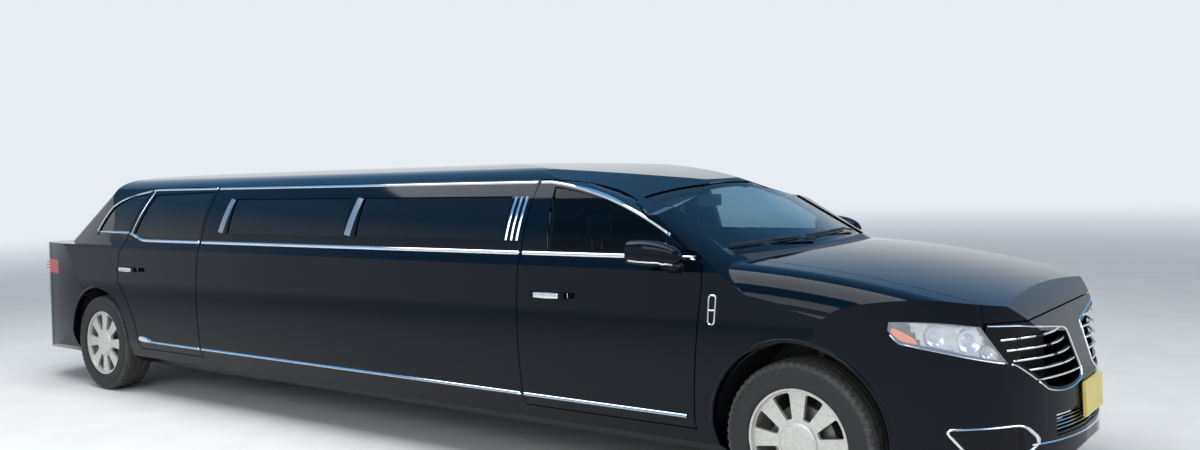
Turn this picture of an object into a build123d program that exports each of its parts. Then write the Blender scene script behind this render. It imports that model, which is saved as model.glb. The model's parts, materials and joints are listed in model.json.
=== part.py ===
from build123d import *
import os
from math import sqrt

# Stretch limousine on a full-size crossover, lengthened 3.05 m between the doors.
# Millimetres. +X forward, +Y to the left side, +Z up, origin on the ground under the middle.
# "right" pieces lie on -Y and are drawn first, and "left" pieces are their mirror images.

os.makedirs("parts", exist_ok=True)

# Overall sizes
front_end_x = 4160.5
rear_end_x = -4160.5
wheelbase = 6043.0
front_overhang = 1040.0
half_width = 966.0
floor_z = 245.0
roof_z = 1668.0

# Wheels
tyre_r = 368.0
tyre_w = 235.0
rim_r = 247.0
wheel_outer_y = 940.0
spokes = 8
spindle_r = 20.0
running_clearance = 0.05

disc_in = 58.0
disc_out = 84.0
hub_in = -58.0
spindle_reach = 66.0
stud_r = 12.0
front_house_y = 470.0
rear_house_y = 655.0
tower_r = 92.0
cradle_top_z = 235.0
pipe_r = 32.0
arm_z = 175.0

# Walls, gaps and seats
wall = 45.0
glass_depth = 8.0
glass_t = 6.0
door_gap = 6.0
seat_gap = 0.3
seal_t = 10.0
seal_w = 16.0

# Heights of the lines along the side
sill_bottom_z = 290.0
door_bottom_z = 372.0
strip_z = 430.0
strip_h = 15.0
widest_z = 760.0
shoulder_z = 1120.0
belt_z = 1182.0
door_top_z = 1572.0
window_low_z = 1250.0
window_high_z = 1486.0

# Half widths of the section at those heights
sill_y = 905.0
strip_y = 950.0
shoulder_y = 938.0
belt_y = 912.0
rail_y = 748.0

# Seams along the length
front_door_front_x = 2656.0
front_door_rear_x = 1511.0
rear_door_front_x = -1529.0
rear_door_rear_x = -2610.0
fender_seam_x = 3390.0
hood_rear_x = 2800.0
hood_centre_x = 2930.0
hood_front_x = 4100.0
hood_low_z = 925.0
hood_half = 700.0
gate_front_x = -2960.0
gate_half = 630.0
bumper_top_z = 645.0

skin_t = 20.0
rear_door_gap = 9.0

# A door's edges slant, so that its rear edge swings clear of the pillar behind it
door_slant = 0.2
door_reference_y = 1000.0
door_reach = 310.0
seal_reach = 340.0
stretch_reach = 80.0
pillar_reach = 130.0

# Grille wings: bars between the frame's lower and upper edge
grille_bars = 5
grille_low_z = 662.0
grille_pitch = 47.0
bar_h = 10.0

# Rear lamps and load floor
tail_lamp_low_z = 888.0
tail_lamp_high_z = 1000.0
load_floor_z = 560.0
floor_t = 30.0

# Number plates: the front one's thickness and the rear one's pad and holes on the liftgate
plate_t = 14.0
plate_pad_x = -4052.0
plate_z = 765.0
plate_hole_y = 178.0
plate_hole_z = 120.65
plate_hole_r = 3.5

# Windows of the stretch panels: rear end and length
stretch_windows = [(-1255.0, 1245.0), (105.0, 1245.0)]

# Derived places
front_axle_x = front_end_x - front_overhang
rear_axle_x = front_axle_x - wheelbase
tyre_y = wheel_outer_y - tyre_w / 2
nose_x = front_end_x - plate_t
arch_z = tyre_r + 32.0
arch_r = 425.0
rear_arch_r = 412.0
house_r = 447.0
house_t = 6.0
firewall_x = front_axle_x - 462.0
sill_in_y = 760.0
sill_front_x = front_axle_x - 400.0
sill_rear_x = rear_axle_x + 330.0
side_top_z = door_top_z + door_gap / 2
pan_low_z = floor_z + 5.0
fender_lap = 5.0

# Windscreen and rear window: how far each leans, as run over rise
windscreen_base_x = 2855.0
windscreen_lean = 1.72
windscreen_top_z = 1530.0
rear_window_base_x = -3850.0
rear_window_lean = 1.75
shelf_z = 1140.0

# Sideways fall of the roof's edges over the windscreen's corners
shoulder_fall = 0.2

# Hood barrel: the hood is part of a very large wheel that lies across the car
hood_r = 6000.0
hood_top_x = 2483.0
hood_top_z = 1197.2
hood_centre_z = hood_top_z - hood_r


def keep(name, part):
    part.label = name
    export_step(part, f"parts/{name}.step")


def both(part):
    """The right piece and its mirror image as one node of two solids."""
    with BuildPart() as pair:
        add(part)
        mirror(about=Plane.XZ)
    return pair.part


def section_line():
    """Half of the cross-section of the long middle, in Y and Z, and its mirror image."""
    l1 = Polyline((0, floor_z), (820, floor_z), (sill_y, sill_bottom_z + 10), (strip_y, strip_z - 10))
    l2 = ThreePointArc(l1 @ 1, (half_width, widest_z), (shoulder_y, shoulder_z))
    l3 = Line(l2 @ 1, (belt_y, belt_z))
    l4 = ThreePointArc(l3 @ 1, (852, 1385), (rail_y, door_top_z))
    l5 = ThreePointArc(l4 @ 1, (655, 1614), (480, 1643))
    ThreePointArc(l5 @ 1, (240, 1661), (0, roof_z))
    mirror(about=Plane.YZ)


def side_line():
    """Silhouette of the body from the side, in X and Z."""
    a = Polyline((-3960, floor_z), (-4090, 285), (rear_end_x + 8, 420))
    b = ThreePointArc(a @ 1, (rear_end_x, 500), (rear_end_x + 25, 590))
    c = Polyline(b @ 1, (-4100, bumper_top_z), (-4056, bumper_top_z + 10), (-4030, 760))
    d = ThreePointArc(c @ 1, (-3990, 990), (-3925, 1130))
    e = ThreePointArc(d @ 1, (-3890, 1168), (-3835, 1200))
    f = ThreePointArc(e @ 1, (-3430, 1450), (gate_front_x, 1652))
    g = ThreePointArc(f @ 1, (-2300, 1664), (-1400, roof_z))
    h = Line(g @ 1, (300, roof_z))
    i = ThreePointArc(h @ 1, (1300, 1643), (2230, 1545))
    j = Polyline(i @ 1, (3060, 1215), (3790, 1085))
    k = ThreePointArc(j @ 1, (4010, 945), (4092, 780))
    m = Polyline(k @ 1, (nose_x - 6, 620), (nose_x, 560), (nose_x - 4, 330), (4085, 262), (3900, floor_z))
    Line(m @ 1, a @ 0)


def plan_line():
    """Outline of the body from above, in X and Y."""
    side = half_width + 3
    a = ThreePointArc((-4130, -450), (rear_end_x, 0), (-4130, 450))
    b = ThreePointArc(a @ 1, (-4062, 735), (-3800, 880))
    c = ThreePointArc(b @ 1, (-3400, 945), (-2800, side))
    d = Line(c @ 1, (3000, side))
    e = ThreePointArc(d @ 1, (3350, 947), (3600, 886))
    f = ThreePointArc(e @ 1, (3877, 718), (4060, 450))
    g = ThreePointArc(f @ 1, (nose_x, 0), (4060, -450))
    h = ThreePointArc(g @ 1, (3877, -718), (3600, -886))
    i = ThreePointArc(h @ 1, (3350, -947), (3000, -side))
    j = Line(i @ 1, (-2800, -side))
    k = ThreePointArc(j @ 1, (-3400, -945), (-3800, -880))
    ThreePointArc(k @ 1, (-4062, -735), a @ 0)


def windscreen_line():
    """The windscreen's curve at the belt, in X and Y, closed far behind."""
    x = windscreen_base_x
    a = ThreePointArc((x - 130, -790), (x, 0), (x - 130, 790))
    b = ThreePointArc(a @ 1, (x - 180, 890), (x - 265, 985))
    c = Polyline(b @ 1, (-9000, 985), (-9000, -985), (x - 265, -985))
    ThreePointArc(c @ 1, (x - 180, -890), a @ 0)


def rear_window_line():
    """The rear window's curve at the belt, in X and Y, closed far in front."""
    x = rear_window_base_x
    a = ThreePointArc((x + 60, -500), (x, 0), (x + 60, 500))
    b = ThreePointArc(a @ 1, (x + 140, 680), (x + 310, 785))
    c = ThreePointArc(b @ 1, (x + 750, 868), (x + 1250, 935))
    d = Polyline(c @ 1, (x + 1700, 985), (9000, 985), (9000, -985), (x + 1700, -985), (x + 1250, -935))
    e = ThreePointArc(d @ 1, (x + 750, -868), (x + 310, -785))
    ThreePointArc(e @ 1, (x + 140, -680), a @ 0)


def leaning_prism(line, inset, lean, below, above):
    """The plan curve at the belt carried up and down along its lean, moved inwards square to its slope."""
    length = sqrt(1 + lean**2)
    with BuildPart() as prism:
        with BuildSketch(Plane.XY.offset(belt_z - below)) as face:
            with BuildLine():
                line()
            make_face()
            if inset:
                offset(amount=-inset)
        push = inset * (length - 1) * (-1 if lean > 0 else 1)
        base = face.sketch.moved(Location((lean * below + push, 0, 0)))
        extrude(base, amount=(below + above) * length, dir=(-lean, 0, 1))
    return prism.part


def shoulder_line():
    """Where the roof's edges would meet over the middle as they fall towards the windscreen, in X and Z."""
    a = Polyline((5000, 0), (-5000, 0), (-5000, 1900), (1000, 1900), (1450, 1752))
    b = ThreePointArc(a @ 1, (1880, 1672), (2300, 1558))
    Polyline(b @ 1, (5000, 1558), a @ 0)


def shoulders(inset):
    """The space under the two falling edges of the roof."""
    with BuildPart() as half:
        with BuildSketch(Plane.XZ):
            with BuildLine():
                shoulder_line()
            make_face()
            if inset:
                offset(amount=-inset)
        extrude(amount=1100 * sqrt(1 + shoulder_fall**2), dir=(0, -1, -shoulder_fall))
        mirror(about=Plane.XZ)
    return half.part


def hood_barrel(inset):
    """The top of the nose, turned about the far axis under the car."""
    with BuildPart() as barrel:
        with BuildSketch(Plane(origin=(hood_top_x, 0, hood_centre_z), x_dir=(0, 1, 0), z_dir=(1, 0, 0))):
            with BuildLine():
                r = hood_r - inset
                crest, shoulder, edge = 800 - inset / 2, 905 - inset, 955 - inset
                a = ThreePointArc((-crest, r - 32), (0, r), (crest, r - 32))
                b = ThreePointArc(a @ 1, (shoulder, r - 80), (edge, r - 190))
                c = Polyline(b @ 1, (1000, r - 400), (1000, r - 1000), (-1000, r - 1000), (-1000, r - 400), (-edge, r - 190))
                ThreePointArc(c @ 1, (-shoulder, r - 80), a @ 0)
            make_face()
        revolve(axis=Axis((hood_top_x, 0, hood_centre_z), (0, 1, 0)), revolution_arc=20)
    return barrel.part


def body_volume(inset):
    """The whole body as one solid, with every face moved inwards by the inset."""
    with BuildPart() as front_limit:
        add(leaning_prism(windscreen_line, inset, windscreen_lean, 1100, 700))
        add(hood_barrel(inset))
    with BuildPart() as rear_limit:
        add(leaning_prism(rear_window_line, inset, -rear_window_lean, 200, 700))
        add(block(-5000, 5000, -1100, 1100, 0, shelf_z - inset))
    with BuildPart() as volume:
        with BuildSketch(Plane.YZ.offset(rear_end_x - 100)):
            with BuildLine():
                section_line()
            make_face()
            if inset:
                offset(amount=-inset)
        extrude(amount=front_end_x - rear_end_x + 200)
        with BuildSketch(Plane.XZ.offset(-1100)):
            with BuildLine():
                side_line()
            make_face()
            if inset:
                offset(amount=-inset)
        extrude(amount=2200, mode=Mode.INTERSECT)
        with BuildSketch(Plane.XY):
            with BuildLine():
                plan_line()
            make_face()
            if inset:
                offset(amount=-inset)
        extrude(amount=2000, mode=Mode.INTERSECT)
        add(front_limit.part, mode=Mode.INTERSECT)
        add(rear_limit.part, mode=Mode.INTERSECT)
        add(shoulders(inset), mode=Mode.INTERSECT)
    return volume.part


def side_prism(outline, near=560.0, far=1010.0, grow=0.0):
    """An outline on the right side, in X and Z, carried across between two distances from the middle."""
    with BuildPart() as prism:
        with BuildSketch(Plane.XZ.offset(near)):
            with BuildLine():
                outline()
            make_face()
            if grow:
                offset(amount=grow)
        extrude(amount=far - near)
    return prism.part


def front_prism(outline, x_low, x_high):
    """An outline seen from the front, in Y and Z, carried along X."""
    with BuildPart() as prism:
        with BuildSketch(Plane.YZ.offset(x_low)):
            with BuildLine():
                outline()
            make_face()
        extrude(amount=x_high - x_low)
    return prism.part


def block(x_low, x_high, y_low, y_high, z_low, z_high):
    """A plain box between two corners."""
    with BuildPart() as box:
        with Locations(((x_low + x_high) / 2, (y_low + y_high) / 2, (z_low + z_high) / 2)):
            Box(x_high - x_low, y_high - y_low, z_high - z_low)
    return box.part


def cut(base, *cutters, within=()):
    """The base, kept within some solids and cut by others."""
    with BuildPart() as piece:
        add(base)
        for solid in within:
            add(solid, mode=Mode.INTERSECT)
        for solid in cutters:
            add(solid, mode=Mode.SUBTRACT)
    return piece.part


def largest(part):
    """The main solid of a piece, without the thin offcuts that its cutters leave."""
    with BuildPart() as piece:
        add(part.solids().sort_by(SortBy.VOLUME)[-1])
    return piece.part


def panel(front, back, within, cutters=()):
    """The layer between two nested volumes, kept within some solids and cut by others."""
    with BuildPart() as piece:
        add(front)
        for solid in within:
            add(solid, mode=Mode.INTERSECT)
        for solid in cutters:
            add(solid, mode=Mode.SUBTRACT)
        add(back, mode=Mode.SUBTRACT)
    return piece.part


def on_skin(x, z):
    """Where a point of a door's edge lies on the reference plane, so that it meets the skin at x."""
    share = max(0.0, min(1.0, (z - belt_z) / (door_top_z - belt_z)))
    skin = strip_y if z <= belt_z - 60 else belt_y + (rail_y - belt_y) * share
    return (x - door_slant * (door_reference_y - skin), z)


def front_door_line():
    top = door_top_z
    a = Polyline(on_skin(2592, door_bottom_z), on_skin(front_door_front_x, 1057), on_skin(front_door_front_x, 1150))
    b = ThreePointArc(a @ 1, on_skin(2165, 1442), on_skin(1600, top))
    Polyline(b @ 1, on_skin(front_door_rear_x + 4, top), on_skin(front_door_rear_x, door_bottom_z), a @ 0)


def rear_door_line():
    top = door_top_z
    a = Polyline(on_skin(rear_door_front_x, door_bottom_z), on_skin(rear_door_front_x, top), on_skin(-2398, top - 8))
    b = Polyline(a @ 1, on_skin(-2532, 1190), on_skin(rear_door_rear_x, 1080), on_skin(rear_door_rear_x, 870))
    c = ThreePointArc(b @ 1, on_skin(-2466, 715), on_skin(-2378, 560))
    Polyline(c @ 1, on_skin(-2350, door_bottom_z), a @ 0)


def door_cutter(outline, grow, reach=450.0):
    """A door's outline carried inwards along the slant that lets its rear edge swing clear."""
    with BuildPart() as cutter:
        with BuildSketch(Plane.XZ.offset(door_reference_y)):
            with BuildLine():
                outline()
            make_face()
            offset(amount=grow)
        extrude(amount=reach * sqrt(1 + door_slant**2), dir=(door_slant, 1, 0))
    return cutter.part


def front_window_line():
    a = Line((1668, 1204), (1634, 1536))
    b = ThreePointArc(a @ 1, (2128, 1420), (2560, 1204))
    Line(b @ 1, a @ 0)


def rear_window_outline():
    Polyline((-1580, 1207), (-1580, 1537), (-2336, 1524), (-2462, 1207), close=True)


def quarter_window_line():
    a = Polyline((-3085, 1212), (-2572, 1222), (-2438, 1520))
    ThreePointArc(a @ 1, (-2800, 1460), a @ 0)


def headlamp_line():
    a = Polyline((3968, 744), (3760, 806), (3592, 846), (3550, 900), (3556, 938))
    b = ThreePointArc(a @ 1, (3730, 936), (3885, 912))
    Line(b @ 1, a @ 0)


def wing_line():
    a = Polyline((-575, 905), (-120, 842), (-98, 640))
    b = ThreePointArc(a @ 1, (-200, 603), (-420, 616))
    Polyline(b @ 1, (-585, 738), a @ 0)


def wing_inner_line():
    a = Polyline((-560, 886), (-136, 828), (-116, 652))
    b = ThreePointArc(a @ 1, (-210, 619), (-414, 630))
    Polyline(b @ 1, (-566, 744), a @ 0)


def fog_line():
    a = Polyline((3757, 476), (4006, 474), (4046, 400))
    Polyline(a @ 1, (3990, 345), (3860, 345), a @ 0)


def windscreen_outline():
    a = Polyline((-775, belt_z + 6), (-672, 1470))
    b = ThreePointArc(a @ 1, (0, windscreen_top_z), (672, 1470))
    Polyline(b @ 1, (775, belt_z + 6), a @ 0)


def gate_window_outline():
    a = Polyline((-560, 1262), (-470, 1560))
    b = ThreePointArc(a @ 1, (0, 1588), (470, 1560))
    Polyline(b @ 1, (560, 1262), a @ 0)


# The body as nested volumes, each one further in
outer = body_volume(0.0)
glass_front = body_volume(glass_depth)
glass_back = body_volume(glass_depth + glass_t)
skin_back = body_volume(skin_t)
ledge_top = body_volume(skin_t + seat_gap)
inner = body_volume(wall)
seal_front = body_volume(wall + seat_gap)
seal_back = body_volume(wall + seat_gap + seal_t)
with BuildPart() as side_back:
    with BuildSketch(Plane.YZ.offset(rear_end_x)):
        with BuildLine():
            section_line()
        make_face()
        offset(amount=-wall)
    extrude(amount=front_end_x - rear_end_x)
side_back = side_back.part

# Regions that several pieces share
front_arch = side_prism(lambda: CenterArc((front_axle_x, arch_z), arch_r, 0, 360), 400)
rear_arch = side_prism(lambda: CenterArc((rear_axle_x, arch_z - 6), rear_arch_r, 0, 360), 400)
underside = block(-3960, 3900, -820, 820, 0, sill_bottom_z)
front_door_hole = door_cutter(front_door_line, door_gap / 2, door_reach + 3 * door_gap)
rear_door_hole = door_cutter(rear_door_line, rear_door_gap - door_gap / 2, door_reach + 3 * door_gap)
headlamp_hole = side_prism(headlamp_line)
wing_hole = front_prism(wing_line, 3700, 4400)
fog_hole = side_prism(fog_line)
windscreen_hole = front_prism(windscreen_outline, 2000, 3100)
stretch_holes = [block(x, x + length, -1100, -600, window_low_z, window_high_z) for x, length in stretch_windows]
sill_top_z = door_bottom_z - door_gap / 2
sill_space = block(sill_rear_x, sill_front_x, -1100, -sill_in_y, 0, sill_top_z)

# Front doors: the whole thickness of the door, with its window and a handle
front_door = panel(
    outer, side_back, [door_cutter(front_door_line, -door_gap / 2, door_reach)], [side_prism(front_window_line)],
)
front_handle = cut(block(1610, 1854, -1002, -900, 960, 990), outer, block(1640, 1824, -985, -900, 950, 1000))
with BuildPart() as front_door_right:
    add(front_door)
    add(front_handle)
keep("front_door_right", front_door_right.part)
keep("front_door_left", mirror(front_door_right.part, about=Plane.XZ))

# Rear doors
rear_door = panel(
    outer, inner, [door_cutter(rear_door_line, -door_gap / 2, door_reach)], [side_prism(rear_window_outline)],
)
rear_handle = cut(block(-2560, -2306, -1000, -890, 953, 983), outer, block(-2530, -2336, -983, -890, 943, 993))
with BuildPart() as rear_door_right:
    add(rear_door)
    add(rear_handle)
keep("rear_door_right", rear_door_right.part)
keep("rear_door_left", mirror(rear_door_right.part, about=Plane.XZ))

# Side glass
door_glass = {"front_door_glass": front_window_line, "rear_door_glass": rear_window_outline}
for name, outline in door_glass.items():
    glass = panel(glass_front, glass_back, [side_prism(outline)])
    keep(f"{name}_right", glass)
    keep(f"{name}_left", mirror(glass, about=Plane.XZ))
with BuildPart() as side_glass:
    for hole in stretch_holes:
        add(panel(glass_front, glass_back, [hole]))
    quarter_space = block(-3200, -2300, -1100, -500, belt_z - 20, 1600)
    add(panel(glass_front, glass_back, [quarter_space, side_prism(quarter_window_line)]))
    mirror(about=Plane.XZ)
keep("side_glass", side_glass.part)

# Door seals, one ring behind each door
with BuildPart() as door_seals:
    seal_space = block(-4000, 4000, -1100, -500, sill_top_z, door_top_z)
    for outline in (front_door_line, rear_door_line):
        ring = door_cutter(outline, seal_w, seal_reach)
        add(panel(seal_front, seal_back, [ring, seal_space], [door_cutter(outline, -seal_w)]))
    mirror(about=Plane.XZ)
keep("door_seals", door_seals.part)

# Stretch panels between the doors, from the sill to the roof, with two windows each
stretch_space = block(
    rear_door_front_x - 250, front_door_rear_x + stretch_reach, -1100, -560, sill_top_z, side_top_z,
)
stretch = panel(outer, inner, [stretch_space], [front_door_hole, rear_door_hole, *stretch_holes])
keep("stretch_panels", both(largest(stretch)))

# Roof with its cant rails and the header over the windscreen
header_y = 600.0
door_holes = [both(front_door_hole), both(rear_door_hole)]
with BuildPart() as roof_space:
    add(block(gate_front_x + door_gap, 2700, -1100, 1100, side_top_z, 2000))
    add(block(1700, 2700, -header_y, header_y, belt_z + 6, 2000))
keep("roof", largest(panel(outer, inner, [roof_space.part], [windscreen_hole, *door_holes])))

# Pillars beside the windscreen
pillar_space = block(front_door_rear_x + pillar_reach, 3000, -1100, -header_y, belt_z + 6, side_top_z)
keep("a_pillars", both(largest(panel(outer, inner, [pillar_space], [windscreen_hole, front_door_hole]))))

# Windscreen, set into its hole
keep("windscreen", panel(glass_front, glass_back, [windscreen_hole]))


def hood_line(grow):
    """The hood's rear and side edges from above, its rear edge an arc."""
    y = hood_half + grow
    a = ThreePointArc((hood_rear_x - grow, y), (hood_centre_x - grow, 0), (hood_rear_x - grow, -y))
    Polyline(a @ 1, (hood_front_x + grow, -y), (hood_front_x + grow, y), a @ 0)


def top_prism(outline, z_low, z_high):
    """An outline from above, in X and Y, carried up between two heights."""
    with BuildPart() as prism:
        with BuildSketch(Plane.XY.offset(z_low)):
            with BuildLine():
                outline()
            make_face()
        extrude(amount=z_high - z_low)
    return prism.part


def ledge_line():
    """The band under the hood's rear edge, from above."""
    back, front = 40, 30
    y = hood_half + fender_lap
    a = ThreePointArc((hood_rear_x - back, y), (hood_centre_x - back, 0), (hood_rear_x - back, -y))
    b = Line(a @ 1, (hood_rear_x + front, -y))
    c = ThreePointArc(b @ 1, (hood_centre_x + front, 0), (hood_rear_x + front, y))
    Line(c @ 1, a @ 0)


# Cowl between the windscreen and the hood, with the ledge that the hood rests on
hood_space = top_prism(lambda: hood_line(0), hood_low_z, 1350)
hood_hole = top_prism(lambda: hood_line(door_gap), hood_low_z - door_gap, 1350)
cowl_y = hood_half + fender_lap
with BuildPart() as cowl:
    add(panel(outer, inner, [block(2560, 3100, -cowl_y, cowl_y, 1060, belt_z + 6)], [hood_hole]))
    add(panel(ledge_top, inner, [top_prism(ledge_line, 900, 1300)]))
keep("cowl", cowl.part)

# Front fenders
fender_space = side_prism(
    lambda: Polyline(
        (2400, sill_bottom_z), (2400, belt_z + 6), (3420, belt_z + 6), (3900, 1120), (3900, 890),
        (3560, 870), (fender_seam_x, 800), (fender_seam_x, sill_bottom_z), close=True,
    ),
    near=hood_half + fender_lap,
    far=1100,
)
fender = panel(
    outer, inner, [fender_space],
    [front_door_hole, front_arch, headlamp_hole, block(2400, sill_front_x, -1100, -600, 0, sill_top_z)],
)
keep("fenders", both(largest(fender)))

# Hood, cut at its front corners for the headlamps
keep("hood", panel(outer, skin_back, [hood_space], [both(side_prism(headlamp_line, grow=door_gap))]))

# Front bumper and the panel round the grille
bumper_space = side_prism(
    lambda: Polyline(
        (fender_seam_x, 0), (fender_seam_x, 800), (3560, 870), (3900, 890), (3900, 1120), (4400, 1120),
        (4400, 0), close=True,
    ),
    near=-1100,
    far=1100,
)
lower_grille_hole = block(3900, 4400, -370, 370, 402, 505)
front_bumper = panel(
    outer, inner, [bumper_space],
    [
        hood_hole, both(headlamp_hole), both(wing_hole), both(fog_hole), lower_grille_hole, underside,
        both(front_arch), both(fender_space),
    ],
)
keep("front_bumper", largest(front_bumper))

# Lamps and grilles at the nose
keep("headlamps", both(panel(outer, skin_back, [headlamp_hole], [wing_hole])))
keep("fog_lamps", both(panel(glass_back, inner, [fog_hole])))
with BuildPart() as wing:
    add(panel(outer, skin_back, [wing_hole], [front_prism(wing_inner_line, 3700, 4400)]))
    for row in range(grille_bars):
        z = grille_low_z + row * grille_pitch
        bar = block(3700, 4400, -700, 0, z - bar_h / 2, z + bar_h / 2)
        add(panel(glass_front, skin_back, [wing_hole, bar]))
keep("grille_wings", both(wing.part))
with BuildPart() as lower_grille:
    add(panel(glass_front, skin_back, [lower_grille_hole], [block(3800, 4400, -355, 355, 414, 493)]))
    for row in range(4):
        z = 430 + row * 16
        add(panel(glass_front, skin_back, [block(3900, 4400, -370, 370, z - 4, z + 4)]))
    add(panel(glass_front, skin_back, [block(3900, 4400, -8, 8, 402, 505)]))
keep("lower_grille", lower_grille.part)
with BuildPart() as radiator:
    add(block(3800, 3845, -360, 360, 330, 860))
    for y in (-360, 360):
        add(block(3600, 3845, y - 20, y + 20, cradle_top_z + seat_gap, 340))
keep("radiator", radiator.part)

# Number plate and its holder on the bumper
with BuildPart() as front_plate:
    add(block(front_end_x - plate_t, front_end_x, -153, 153, 448, 603))
    add(block(4080, front_end_x - plate_t, -130, 130, 470, 590))
keep("front_plate", cut(front_plate.part, outer))

# Rear quarter panels with their windows
tail_lamp_space = block(-4300, -3640, -1100, -gate_half - door_gap, tail_lamp_low_z, tail_lamp_high_z)
quarter = panel(
    outer, inner, [block(-4300, -2330, -1100, -gate_half - door_gap, sill_bottom_z, 2000)],
    [
        block(gate_front_x + door_gap, -2330, -1100, 0, side_top_z, 2000),
        block(-4300, rear_axle_x - 300, -1100, 0, 0, bumper_top_z),
        block(sill_rear_x, -2200, -1100, -600, 0, sill_top_z),
        rear_door_hole,
        rear_arch,
        tail_lamp_space,
        side_prism(quarter_window_line),
    ],
)
keep("quarter_panels", both(largest(quarter)))
keep("tail_lamps", both(panel(outer, skin_back, [tail_lamp_space])))

# Rear bumper
rear_bumper = panel(
    outer, inner, [block(-4300, rear_axle_x - 300, -1100, 1100, floor_z - 5, bumper_top_z)],
    [both(rear_arch), underside],
)
keep("rear_bumper", largest(rear_bumper))

# Liftgate with its window and lamps
gate_space = block(-4300, gate_front_x, -gate_half, gate_half, bumper_top_z + door_gap, 2000)
gate_lamp_space = block(-4300, -3640, -gate_half, gate_half, tail_lamp_low_z, tail_lamp_high_z)
gate_window = front_prism(gate_window_outline, -4300, -3000)
gate_lamp = panel(outer, skin_back, [gate_lamp_space])
with BuildPart() as liftgate:
    add(panel(outer, inner, [gate_space], [gate_window, gate_lamp]))
    add(block(plate_pad_x, plate_pad_x + 60, -160, 160, plate_z - 82, plate_z + 82))
    with BuildSketch(Plane.YZ.offset(plate_pad_x)):
        with Locations((0, plate_z)):
            with GridLocations(plate_hole_y, plate_hole_z, 2, 2):
                Circle(plate_hole_r)
    extrude(amount=30, mode=Mode.SUBTRACT)
keep("liftgate", liftgate.part)
keep("liftgate_glass", panel(glass_front, glass_back, [gate_window]))
keep("liftgate_lamp", gate_lamp)
gate_seal = panel(
    seal_front, seal_back,
    [block(-4300, gate_front_x + 24, -gate_half - 20, gate_half + 20, bumper_top_z - 12, 2000)],
    [block(-4300, gate_front_x - seal_w, -gate_half + seal_w, gate_half - seal_w, bumper_top_z + seal_w, 2000)],
)
keep("liftgate_seal", gate_seal)

# Sills: closed boxes under the doors and the stretch
sill = cut(outer, front_arch, rear_arch, within=[sill_space])
keep("sills", both(largest(sill)))

# Floor, firewall and load floor as one bent pan
with BuildPart() as floor_pan:
    with BuildSketch(Plane.XZ.offset(-sill_in_y)):
        with BuildLine():
            t, step_x, wall_x = floor_t, rear_axle_x + 475, firewall_x
            Polyline(
                (wall_x, 1060), (wall_x, pan_low_z), (step_x, pan_low_z), (step_x, load_floor_z),
                (-3940, load_floor_z), (-3940, load_floor_z + t), (step_x + t, load_floor_z + t),
                (step_x + t, pan_low_z + t), (wall_x - t, pan_low_z + t), (wall_x - t, 1060), close=True,
            )
        make_face()
    extrude(amount=2 * sill_in_y)
    add(both(block(-3940, step_x, -900, -650, 0, 2000)), mode=Mode.SUBTRACT)
keep("floor_pan", floor_pan.part)

# Wheels: a tyre and a rim with flat spokes on each spindle


def wheel_centre(x):
    return Vector(x, -tyre_y, tyre_r)


def tyre(x):
    half = tyre_w / 2
    with BuildPart() as piece:
        with BuildSketch(Plane(origin=wheel_centre(x), x_dir=(0, -1, 0), z_dir=(-1, 0, 0))):
            with BuildLine():
                a = Polyline((half - 14, rim_r), (half - 4, rim_r + 6))
                b = ThreePointArc(a @ 1, (half, (rim_r + tyre_r) / 2), (half - 9, tyre_r - 26))
                c = ThreePointArc(b @ 1, (half - 15, tyre_r - 9), (half - 32, tyre_r - 2))
                d = ThreePointArc(c @ 1, (0, tyre_r), (-half + 32, tyre_r - 2))
                e = ThreePointArc(d @ 1, (-half + 15, tyre_r - 9), (-half + 9, tyre_r - 26))
                f = ThreePointArc(e @ 1, (-half, (rim_r + tyre_r) / 2), (-half + 4, rim_r + 6))
                Polyline(f @ 1, (-half + 14, rim_r), a @ 0)
            make_face()
        revolve(axis=Axis(wheel_centre(x), (0, -1, 0)))
    return piece.part


def rim(x):
    edge = tyre_w / 2 - 14
    with BuildPart() as piece:
        with BuildSketch(Plane(origin=wheel_centre(x), x_dir=(0, -1, 0), z_dir=(-1, 0, 0))):
            Polygon((-edge, rim_r), (edge, rim_r), (edge, rim_r - 12), (-edge, rim_r - 12), align=None)
            Polygon(
                (disc_in, 0), (disc_in, 230), (disc_in + 12, rim_r - 4), (disc_out + 10, rim_r - 4),
                (disc_out, 226), (disc_out - 4, 95), (disc_out + 8, 78), (disc_out + 8, 0), align=None,
            )
            Polygon((hub_in, 0), (hub_in, 70), (disc_in + 2, 80), (disc_in + 2, 0), align=None)
        revolve(axis=Axis(wheel_centre(x), (0, -1, 0)))
        outward = Plane(origin=wheel_centre(x) + Vector(0, -hub_in, 0), x_dir=(1, 0, 0), z_dir=(0, -1, 0))
        with BuildSketch(outward):
            with PolarLocations(0, spokes, start_angle=180 / spokes):
                Polygon((112, -14), (214, -50), (220, 0), (214, 50), (112, 14), align=None)
        extrude(amount=200, mode=Mode.SUBTRACT)
        with BuildSketch(outward):
            Circle(spindle_r + running_clearance)
        extrude(amount=spindle_reach - hub_in + 2, mode=Mode.SUBTRACT)
    return piece.part


for end, x in (("front", front_axle_x), ("rear", rear_axle_x)):
    for name, make in (("tyre", tyre), ("rim", rim)):
        piece = make(x)
        keep(f"{name}_{end}_right", piece)
        keep(f"{name}_{end}_left", mirror(piece, about=Plane.XZ))

# Steering: knuckles that turn about a leaning line through the lower joint and the strut's top
king_low = Vector(front_axle_x, -790, 190)
king_top = Vector(front_axle_x, -620, 900)
king_axis = (king_top - king_low).normalized()


def mirror_plane(plane):
    """The same plane on the left side."""
    origin, up = plane.origin, plane.z_dir
    return Plane(origin=(origin.X, -origin.Y, origin.Z), x_dir=(1, 0, 0), z_dir=(up.X, -up.Y, up.Z))


def king_plane(height):
    """A plane square to the steering axis at a height above the ground."""
    along = (height - king_low.Z) / king_axis.Z
    return Plane(origin=king_low + king_axis * along, x_dir=(1, 0, 0), z_dir=king_axis)


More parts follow.
